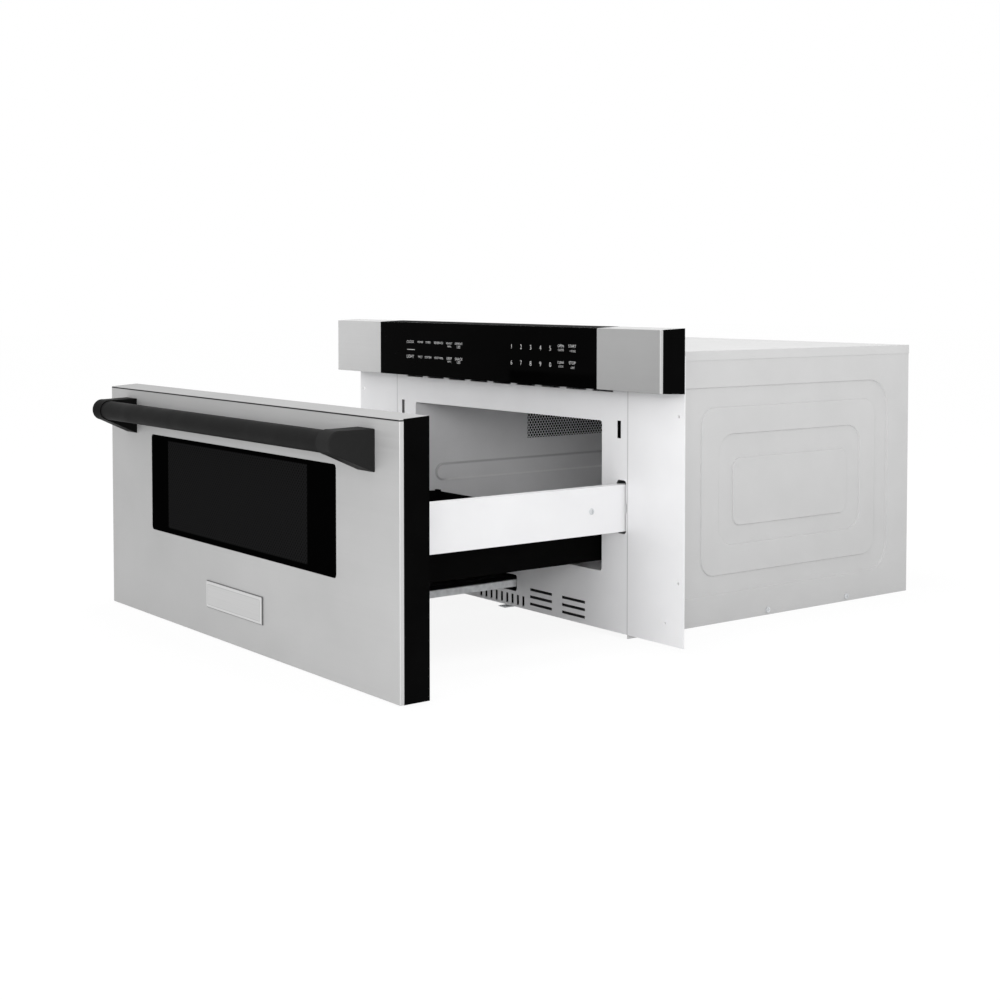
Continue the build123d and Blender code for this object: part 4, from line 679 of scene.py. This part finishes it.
def repeat_tree(name, stamp, material):
    """A Geometry Nodes tree that lays a stamp on a grid in its XY plane."""
    tree = bpy.data.node_groups.new(name, "GeometryNodeTree")
    sockets = tree.interface
    sockets.new_socket("Geometry", in_out="INPUT", socket_type="NodeSocketGeometry")
    for socket_name, kind, default in (
        ("Columns", "NodeSocketInt", 2),
        ("Rows", "NodeSocketInt", 2),
        ("Column Pitch", "NodeSocketFloat", 0.01),
        ("Row Pitch", "NodeSocketFloat", 0.01),
    ):
        sockets.new_socket(socket_name, in_out="INPUT", socket_type=kind).default_value = default
    sockets.new_socket("Geometry", in_out="OUTPUT", socket_type="NodeSocketGeometry")
    entry = tree.nodes.new("NodeGroupInput").outputs
    grid = tree.nodes.new("GeometryNodeMeshGrid")
    for count, pitch, axis in (("Columns", "Column Pitch", "X"), ("Rows", "Row Pitch", "Y")):
        gaps, span = (tree.nodes.new("ShaderNodeMath") for _ in range(2))
        gaps.operation = "SUBTRACT"
        gaps.inputs[1].default_value = 1.0
        span.operation = "MULTIPLY"
        tree.links.new(entry[count], gaps.inputs[0])
        tree.links.new(gaps.outputs[0], span.inputs[0])
        tree.links.new(entry[pitch], span.inputs[1])
        tree.links.new(span.outputs[0], grid.inputs["Size " + axis])
        tree.links.new(entry[count], grid.inputs["Vertices " + axis])
    shape = tree.nodes.new("GeometryNodeObjectInfo")
    shape.inputs["Object"].default_value = stamp
    place = tree.nodes.new("GeometryNodeInstanceOnPoints")
    solid = tree.nodes.new("GeometryNodeRealizeInstances")
    coat = tree.nodes.new("GeometryNodeSetMaterial")
    coat.inputs["Material"].default_value = material
    leave = tree.nodes.new("NodeGroupOutput")
    for source, target in (
        (grid.outputs["Mesh"], place.inputs["Points"]),
        (shape.outputs["Geometry"], place.inputs["Instance"]),
        (place.outputs[0], solid.inputs[0]),
        (solid.outputs[0], coat.inputs["Geometry"]),
        (coat.outputs[0], leave.inputs[0]),
    ):
        tree.links.new(source, target)
    return tree


def repeated(name, stamp_mesh, finish, **inputs):
    """A plain mesh of a stamp repeated by Geometry Nodes; inputs are the tree's named inputs."""
    stamp = put_in_scene(name + "_stamp", stamp_mesh)
    carrier = put_in_scene(name + "_carrier", bpy.data.meshes.new(name + "_carrier"))
    tree = repeat_tree(name, stamp, finish_named(finish))
    modifier = carrier.modifiers.new("Repeat", "NODES")
    modifier.node_group = tree
    identifiers = {
        item.name: item.identifier for item in tree.interface.items_tree if item.in_out == "INPUT"
    }
    for key, value in inputs.items():
        modifier[identifiers[key.replace("_", " ").title()]] = value
    mesh = plain_mesh(carrier, name)
    carrier.modifiers.remove(modifier)
    drop(carrier)
    drop(stamp)
    bpy.data.node_groups.remove(tree)
    return mesh


def frame_matrix(origin, across, up):
    """Matrix that lays local X along across and local Y along up."""
    across, up = Vector(across).normalized(), Vector(up).normalized()
    out = across.cross(up)
    turned = Matrix((across, up, out)).transposed().to_4x4()
    return Matrix.Translation(origin) @ turned


def rounded_outline(low, high, corner, steps=8):
    """Points round a rounded rectangle, the same count for any size, starting at the middle right."""
    (x0, y0), (x1, y1) = low, high
    corner = max(corner, 1e-5)
    points = []
    for centre_x, centre_y, start in (
        (x1 - corner, y1 - corner, 0),
        (x0 + corner, y1 - corner, 90),
        (x0 + corner, y0 + corner, 180),
        (x1 - corner, y0 + corner, 270),
    ):
        for step in range(steps + 1):
            angle = radians(start + 90 * step / steps)
            points.append((centre_x + corner * cos(angle), centre_y + corner * sin(angle)))
    return points


def bridge(bm, first, second):
    """Quads between two closed loops of equal count."""
    count = len(first)
    for index in range(count):
        after = (index + 1) % count
        bm.faces.new((first[index], first[after], second[after], second[index]))


# ---- operators -----------------------------------------------------------------------------


class DRAWER_OT_finish_solids(Operator):
    """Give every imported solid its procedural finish"""

    bl_idname = "drawer.finish_solids"
    bl_label = "Finish packed solids"

    def execute(self, context):
        FINISHES.clear()
        for name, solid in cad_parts.items():
            material = finish_named(NODE_FINISH[name])
            if not solid.material_slots:
                solid.data.materials.append(material)
            for slot in solid.material_slots:
                slot.material = material
        return {"FINISHED"}


# outlines of the pressed rings in the side panels: front, rear, bottom, top, corner, in millimetres
PRESSED = (
    ((40.0, 511.0, 39.5, 322.0, 40.0), (131.0, 483.0, 65.5, 294.7, 24.0)),
    ((163.6, 450.0, 105.5, 257.5, 26.0), (190.4, 421.7, 131.0, 224.0, 14.0)),
)
# steps across a slope; the first and last lie on the flats, so that the flats stay flat to the light
SLOPE_STEPS = (-0.5, *(step / 6 for step in range(7)), 1.5)


class DRAWER_OT_side_panels(Operator):
    """Side panels whose pressed rings have rounded slopes, like drawn sheet"""

    bl_idname = "drawer.side_panels"
    bl_label = "Pressed side panels"

    def execute(self, context):
        sizes = context.scene.drawer_sizes
        for side, name in ((1, "side_panel_right"), (-1, "side_panel_left")):
            low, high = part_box(name)
            face_x = high.x if side > 0 else low.x
            bm = bmesh.new()
            previous = self.loop(bm, (low.y, high.y, low.z, high.z, 0.0), 0.0, face_x, side)
            for outer, inner in PRESSED:
                for edges, rising in ((outer, True), (inner, False)):
                    edges = tuple(value * MM for value in edges)
                    for share in SLOPE_STEPS:
                        turn = min(max(share, 0.0), 1.0)
                        depth = sizes.press_depth * (1 - cos(pi * (turn if rising else 1 - turn))) / 2
                        inset = (share - 0.5) * sizes.press_slope
                        loop = self.loop(bm, self.shrunk(edges, inset), depth, face_x, side)
                        bridge(bm, previous, loop)
                        previous = loop
            bm.faces.new(previous)
            mesh = mesh_from(bm, name + "_pressed")
            piece = put_in_scene("wall", mesh)
            wall = piece.modifiers.new("Wall", "SOLIDIFY")
            wall.thickness = SIDE_SHEET
            wall.offset = -1.0
            solid = plain_mesh(piece, name + "_pressed")
            piece.modifiers.remove(wall)
            drop(piece)
            solid.set_sharp_from_angle(angle=SMOOTH_ANGLE)
            add_piece(name + "_pressed", solid, "chassis", "case_paint", (name,))
        return {"FINISHED"}

    @staticmethod
    def shrunk(edges, inset):
        """An outline moved inwards on every side."""
        front, rear, bottom, top, corner = edges
        return (front + inset, rear - inset, bottom + inset, top - inset, max(corner - inset, 1e-4))

    @staticmethod
    def loop(bm, edges, depth, face_x, side):
        """A ring of points on the panel's face, sunk by a depth."""
        front, rear, bottom, top, corner = edges
        outline = rounded_outline((front, bottom), (rear, top), corner)
        return [bm.verts.new((face_x - side * depth, y, z)) for y, z in outline]


class DRAWER_OT_cavity_grille(Operator):
    """Perforated grille in the oven's left wall, and a dark plate of painted shadow behind it"""

    bl_idname = "drawer.cavity_grille"
    bl_label = "Cavity grille"

    front: length("Front edge", "Start of the holes", 0.2125)
    rear: length("Rear edge", "End of the holes", 0.386)
    bottom: length("Lower edge", "Lowest row", 0.2148)
    top: length("Upper edge", "Highest row", 0.2642)

    def execute(self, context):
        sizes = context.scene.drawer_sizes
        along, up = sizes.hole_pitch_along, sizes.hole_pitch_up * 2
        columns = int((self.rear - self.front) / along)
        rows = int((self.top - self.bottom) / up)
        holes = repeated(
            "grille_holes", self.tile(along, up, sizes.hole_radius), "enamel",
            columns=columns, rows=rows, column_pitch=along, row_pitch=up,
        )
        wall_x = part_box("cavity_body")[0].x + GRILLE_WALL
        middle_y, middle_z = (self.front + self.rear) / 2, (self.bottom + self.top) / 2
        centre = Vector((wall_x + GRILLE_LIFT, middle_y, middle_z))
        holes.transform(frame_matrix(centre, (0, 1, 0), (0, 0, 1)))
        add_piece("cavity_grille", holes, "chassis", "enamel")
        half_width, half_height = columns * along / 2, rows * up / 2
        bm = bmesh.new()
        outline = rounded_outline((-half_width, -half_height), (half_width, half_height), 1.0 * MM, 3)
        back, face = ([bm.verts.new((x, y, lift)) for x, y in outline] for lift in (0.0, SHADOW_PLATE_THICKNESS))
        bridge(bm, back, face)
        bm.faces.new(face)
        # a near-black plate of painted shadow behind the holes
        shadow_plate = mesh_from(bm, "grille_backing", smooth=False)
        shadow_plate.transform(frame_matrix(centre - Vector((SHADOW_PLATE_DROP, 0, 0)), (0, 1, 0), (0, 0, 1)))
        add_piece("cavity_grille_backing", shadow_plate, "chassis", "shadow")
        return {"FINISHED"}

    @staticmethod
    def tile(along, up, radius, sides=8):
        """One repeat of the pattern: a whole hole in its middle and four quarters at its corners."""
        bm = bmesh.new()
        half_x, half_y = along / 2, up / 2
        turns = [2 * pi * side / sides for side in range(sides)]
        centre_ring = [bm.verts.new((radius * cos(turn), radius * sin(turn), 0)) for turn in turns]
        corners = []
        for corner, (sx, sy) in enumerate(((1, 1), (-1, 1), (-1, -1), (1, -1))):
            arc = []
            for step in range(3):
                angle = radians(270 + 90 * corner - 45 * step)
                x, y = sx * half_x + radius * cos(angle), sy * half_y + radius * sin(angle)
                arc.append(bm.verts.new((x, y, 0)))
            corners.append(arc)
        # the eight ring points look at the edge middles and the corner arcs in turn
        for corner in range(4):
            arc = corners[corner]
            following = corners[(corner + 1) % 4]
            ring_a = centre_ring[2 * corner]
            ring_b = centre_ring[2 * corner + 1]
            ring_c = centre_ring[(2 * corner + 2) % sides]
            bm.faces.new((ring_a, arc[0], arc[1], ring_b))
            bm.faces.new((ring_b, arc[1], arc[2], ring_c))
            bm.faces.new((ring_c, arc[2], following[0]))
        thicken(bm, -GRILLE_SHEET)
        return mesh_from(bm, "grille_tile", smooth=False)


# key legends of the upper and lower row: text, middle along X and width, in millimetres
WORD_ROWS = (
    (("CLOCK", -172.7, 19.0), ("POWER", -145.9, 13.9), ("TIMER", -125.9, 13.1),
     ("BEVERAGE", -98.4, 22.5), ("REHEAT", -71.4, 14.5), ("DEFROST", -47.9, 18.6)),
    (("LIGHT", -172.7, 19.0), ("MELT", -145.9, 11.0), ("SOFTEN", -125.9, 16.5),
     ("VEGETABLE", -98.4, 22.5), ("KEEP", -71.4, 12.5), ("SNACK", -47.9, 18.6)),
)
SMALL_WORDS = (("MENU", -71.4, 9.0), ("LBS", -47.9, 8.0))
SMALL_WORD_RISE = -4.6
# the same for the action keys, with each word's rise above its row
ACTION_ROWS = (
    (("OPEN", 185.5, 12.5, 3.6), ("CLOSE", 185.8, 12.0, -1.6),
     ("START", 209.4, 15.8, 3.9), ("+30 SEC", 210.4, 12.4, -2.6)),
    (("CLEAR", 185.5, 13.5, 3.6), ("LOCK", 186.0, 9.5, -1.6),
     ("STOP", 209.4, 13.6, 3.9), ("OFF", 210.4, 7.5, -2.6)),
)
# the printed line under the first key: left, right, half its thickness, in millimetres
KEY_LINE = (-181.5, -160.6, 0.3)
KEY_LINE_DROP = 11.7 * MM


class DRAWER_OT_key_legends(Operator):
    """Printed digits and plain words of the touch keys"""

    bl_idname = "drawer.key_legends"
    bl_label = "Key legends"

    upper_row: length("Upper row", "Height of the upper keys", 0.3765)
    lower_row: length("Lower row", "Height of the lower keys", 0.3546)
    first_digit: length("First digit", "Place of the first digit", 0.0776)
    digit_pitch: length("Digit pitch", "Spacing of the digits", 0.02135)

    def execute(self, context):
        sizes = context.scene.drawer_sizes
        face_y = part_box("control_glass")[0].y
        joined = bmesh.new()
        for row, height in enumerate((self.upper_row, self.lower_row)):
            for column in range(5):
                digit = str((row * 5 + column + 1) % 10)
                mark = self.word_mesh(digit, sizes.legend_relief, height=sizes.digit_height)
                self.place(joined, mark, self.first_digit + column * self.digit_pitch, face_y, height)
            marks = [(word, x, width, 0.0) for word, x, width in WORD_ROWS[row]]
            marks += [(word, x, width, SMALL_WORD_RISE) for word, x, width in SMALL_WORDS]
            marks += ACTION_ROWS[row]
            for word, x, width, rise in marks:
                mark = self.word_mesh(word, sizes.legend_relief, width=width * MM)
                self.place(joined, mark, x * MM, face_y, height + rise * MM)
        left, right, half = (value * MM for value in KEY_LINE)
        outline = rounded_outline((left, -half), (right, half), 0.2 * MM, 2)
        line_z = self.upper_row - KEY_LINE_DROP
        joined.faces.new([joined.verts.new((x, face_y - 0.05 * MM, line_z + z)) for x, z in outline])
        mesh = bpy.data.meshes.new("key_legends")
        joined.to_mesh(mesh)
        joined.free()
        add_piece("key_legends", mesh, "chassis", "ink")
        return {"FINISHED"}

    @staticmethod
    def place(joined, mesh, x, y, z):
        """Adds a word to the joined mesh, facing forwards, its back just off the glass."""
        mesh.transform(frame_matrix((x, y - 0.02 * MM, z), (1, 0, 0), (0, 0, 1)))
        joined.from_mesh(mesh)
        bpy.data.meshes.remove(mesh)

    @staticmethod
    def word_mesh(word, relief, width=0.0, height=0.0):
        """A flat, centred word as a plain mesh in the XY plane, sized by its width or its height."""
        curve = bpy.data.curves.new("word", "FONT")
        curve.body = word
        curve.size = 0.01
        curve.align_x = "CENTER"
        curve.resolution_u = 3
        curve.offset = -0.00012
        text = put_in_scene("word", curve)
        mesh = plain_mesh(text, "word")
        drop(text)
        xs = [vertex.co.x for vertex in mesh.vertices]
        ys = [vertex.co.y for vertex in mesh.vertices]
        scale = width / (max(xs) - min(xs)) if width else height / (max(ys) - min(ys))
        centre = Vector(((max(xs) + min(xs)) / 2, (max(ys) + min(ys)) / 2, 0))
        mesh.transform(Matrix.Scale(scale, 4) @ Matrix.Translation(-centre))
        bm = bmesh.new()
        bm.from_mesh(mesh)
        thicken(bm, relief)
        bmesh.ops.recalc_face_normals(bm, faces=bm.faces)
        bm.to_mesh(mesh)
        bm.free()
        return mesh


# dark sheets of painted shade behind the vents: left, right, front, bottom, top, in millimetres
VENT_SHADOW_SHEETS = (
    (-58.0, 58.0, 7.0, 7.4, 24.4),
    (-192.0, -59.0, 6.6, 7.4, 44.0),
    (59.0, 192.0, 6.6, 7.4, 44.0),
)
VENT_SHADOW_THICKNESS = 1.2


class DRAWER_OT_vent_shadow(Operator):
    """Dark sheets of painted shade behind the louvres and slits of the front"""

    bl_idname = "drawer.vent_lining"
    bl_label = "Vent lining"

    def execute(self, context):
        joined = bmesh.new()
        for left, right, front, bottom, top in VENT_SHADOW_SHEETS:
            outline = rounded_outline((left * MM, bottom * MM), (right * MM, top * MM), 1.5 * MM, 3)
            near, far = (
                [joined.verts.new((x, y * MM, z)) for x, z in outline]
                for y in (front, front + VENT_SHADOW_THICKNESS)
            )
            bridge(joined, near, far)
            joined.faces.new(near)
            joined.faces.new(far)
        vent_shadow_mesh = mesh_from(joined, "vent_lining", smooth=False)
        add_piece("vent_lining", vent_shadow_mesh, "chassis", "felt")
        return {"FINISHED"}


# the stage: what the floor and the room give to light and to the background
FLOOR_COLOUR = (0.66, 0.66, 0.66, 1)
FLOOR_GLOW = 1.07
FLOOR_GLOW_SHARE = 0.84
ROOM_LIGHT = 0.93
BACKGROUND_LIGHT = 1.0
# lamps: name, place, aim, size in metres and power in watts
LAMPS = (
    ("key_soft", (0.5, -3.0, 0.45), (0.0, -0.1, 0.2), 1.6, 32.0),
    ("fill_soft", (2.5, -1.7, 0.75), (0.0, 0.0, 0.2), 1.0, 22.0),
    ("top_soft", (0.0, -0.2, 2.2), (0.0, -0.1, 0.0), 0.7, 9.0),
)
CAMERA_PLACE = (1.85396, -1.38074, 0.45458)
CAMERA_YAW = radians(51.65)
CAMERA_PITCH = radians(2.49)
CAMERA_ROLL = radians(0.08)
CAMERA_LENS = 58.505
CAMERA_SHIFT = (-0.05, -0.14)


class DRAWER_OT_stage(Operator):
    """Floor, light and the camera"""

    bl_idname = "drawer.stage"
    bl_label = "Stage"

    def execute(self, context):
        self.floor()
        self.world(context)
        self.lamps()
        self.camera(context)
        return {"FINISHED"}

    def floor(self):
        """Pale floor, which glows where the background is seen, and keeps the object's shadow."""
        bm = bmesh.new()
        bmesh.ops.create_grid(bm, x_segments=8, y_segments=8, size=14.0)
        mesh = bpy.data.meshes.new("floor")
        bm.to_mesh(mesh)
        bm.free()
        plane = put_in_scene("floor", mesh)
        finish = Finish("floor_white", roughness=0.9, specular=0.0).colour(FLOOR_COLOUR)
        glow = finish.node("ShaderNodeEmission", strength=FLOOR_GLOW).outputs[0]
        share = finish.maths("MULTIPLY", self.seen(finish.tree), FLOOR_GLOW_SHARE)
        mix = finish.node("ShaderNodeMixShader")
        for socket, value in zip(mix.inputs, (share, finish.shader.outputs[0], glow)):
            finish.feed(socket, value)
        finish.feed(finish.tree.nodes["Material Output"].inputs["Surface"], mix.outputs[0])
        mesh.materials.append(finish.material)

    @staticmethod
    def seen(tree):
        """1 for rays that show the background: straight to the camera, in gloss and through glass."""
        path = tree.nodes.new("ShaderNodeLightPath")
        value = path.outputs["Is Camera Ray"]
        for kind in ("Is Glossy Ray", "Is Transmission Ray"):
            either = tree.nodes.new("ShaderNodeMath")
            either.operation = "MAXIMUM"
            tree.links.new(value, either.inputs[0])
            tree.links.new(path.outputs[kind], either.inputs[1])
            value = either.outputs[0]
        return value

    def world(self, context):
        """White background, and a little less of it as light."""
        world = bpy.data.worlds.new("studio")
        context.scene.world = world
        world.use_nodes = True
        tree = world.node_tree
        background = tree.nodes["Background"]
        background.inputs["Color"].default_value = (1, 1, 1, 1)
        strength = tree.nodes.new("ShaderNodeMapRange")
        tree.links.new(self.seen(tree), strength.inputs["Value"])
        strength.inputs["To Min"].default_value = ROOM_LIGHT
        strength.inputs["To Max"].default_value = BACKGROUND_LIGHT
        tree.links.new(strength.outputs[0], background.inputs["Strength"])

    @staticmethod
    def lamps():
        """Three soft square lamps."""
        for name, place, aim, size, power in LAMPS:
            light = bpy.data.lights.new(name, "AREA")
            light.shape = "SQUARE"
            light.size = size
            light.energy = power
            lamp = put_in_scene(name, light)
            lamp.location = place
            lamp.rotation_euler = (Vector(aim) - Vector(place)).to_track_quat("-Z", "Y").to_euler()

    @staticmethod
    def camera(context):
        """The photograph's view."""
        data = bpy.data.cameras.new("camera")
        data.sensor_width = 36.0
        data.sensor_fit = "AUTO"
        data.lens = CAMERA_LENS
        data.shift_x, data.shift_y = CAMERA_SHIFT
        data.clip_start = 0.05
        data.clip_end = 60.0
        camera = put_in_scene("camera", data)
        camera.location = CAMERA_PLACE
        yaw = Matrix.Rotation(CAMERA_YAW, 4, "Z")
        pitch = Matrix.Rotation(pi / 2 - CAMERA_PITCH, 4, "X")
        roll = Matrix.Rotation(CAMERA_ROLL, 4, "Z")
        camera.rotation_euler = (yaw @ pitch @ roll).to_euler()
        context.scene.camera = camera
        context.scene.view_settings.view_transform = "Standard"


class DRAWER_PT_panel(Panel):
    """Lists the drawer's builders and settings"""

    bl_idname = "DRAWER_PT_panel"
    bl_label = "Microwave drawer"
    bl_space_type = "VIEW_3D"
    bl_region_type = "UI"
    bl_category = "Microwave drawer"

    def draw(self, context):
        layout = self.layout
        for group in (context.scene.drawer_sizes, context.scene.drawer_colours):
            column = layout.column(align=True)
            for key in group.__annotations__:
                column.prop(group, key)
        column = layout.column(align=True)
        for builder in BUILDERS:
            column.operator(builder.bl_idname)


BUILDERS = (
    DRAWER_OT_finish_solids,
    DRAWER_OT_side_panels,
    DRAWER_OT_cavity_grille,
    DRAWER_OT_key_legends,
    DRAWER_OT_vent_shadow,
    DRAWER_OT_stage,
)
CLASSES = (DrawerSizes, DrawerColours, *BUILDERS, DRAWER_PT_panel)


def register():
    for cls in CLASSES:
        bpy.utils.register_class(cls)
    bpy.types.Scene.drawer_sizes = PointerProperty(type=DrawerSizes)
    bpy.types.Scene.drawer_colours = PointerProperty(type=DrawerColours)


def unregister():
    del bpy.types.Scene.drawer_colours
    del bpy.types.Scene.drawer_sizes
    for cls in reversed(CLASSES):
        bpy.utils.unregister_class(cls)


def main():
    """Registers the add-on and builds every piece in order."""
    register()
    bpy.ops.drawer.finish_solids()
    bpy.ops.drawer.side_panels()
    bpy.ops.drawer.cavity_grille()
    bpy.ops.drawer.key_legends()
    bpy.ops.drawer.vent_lining()
    bpy.ops.drawer.stage()


if __name__ == "__main__":
    main()
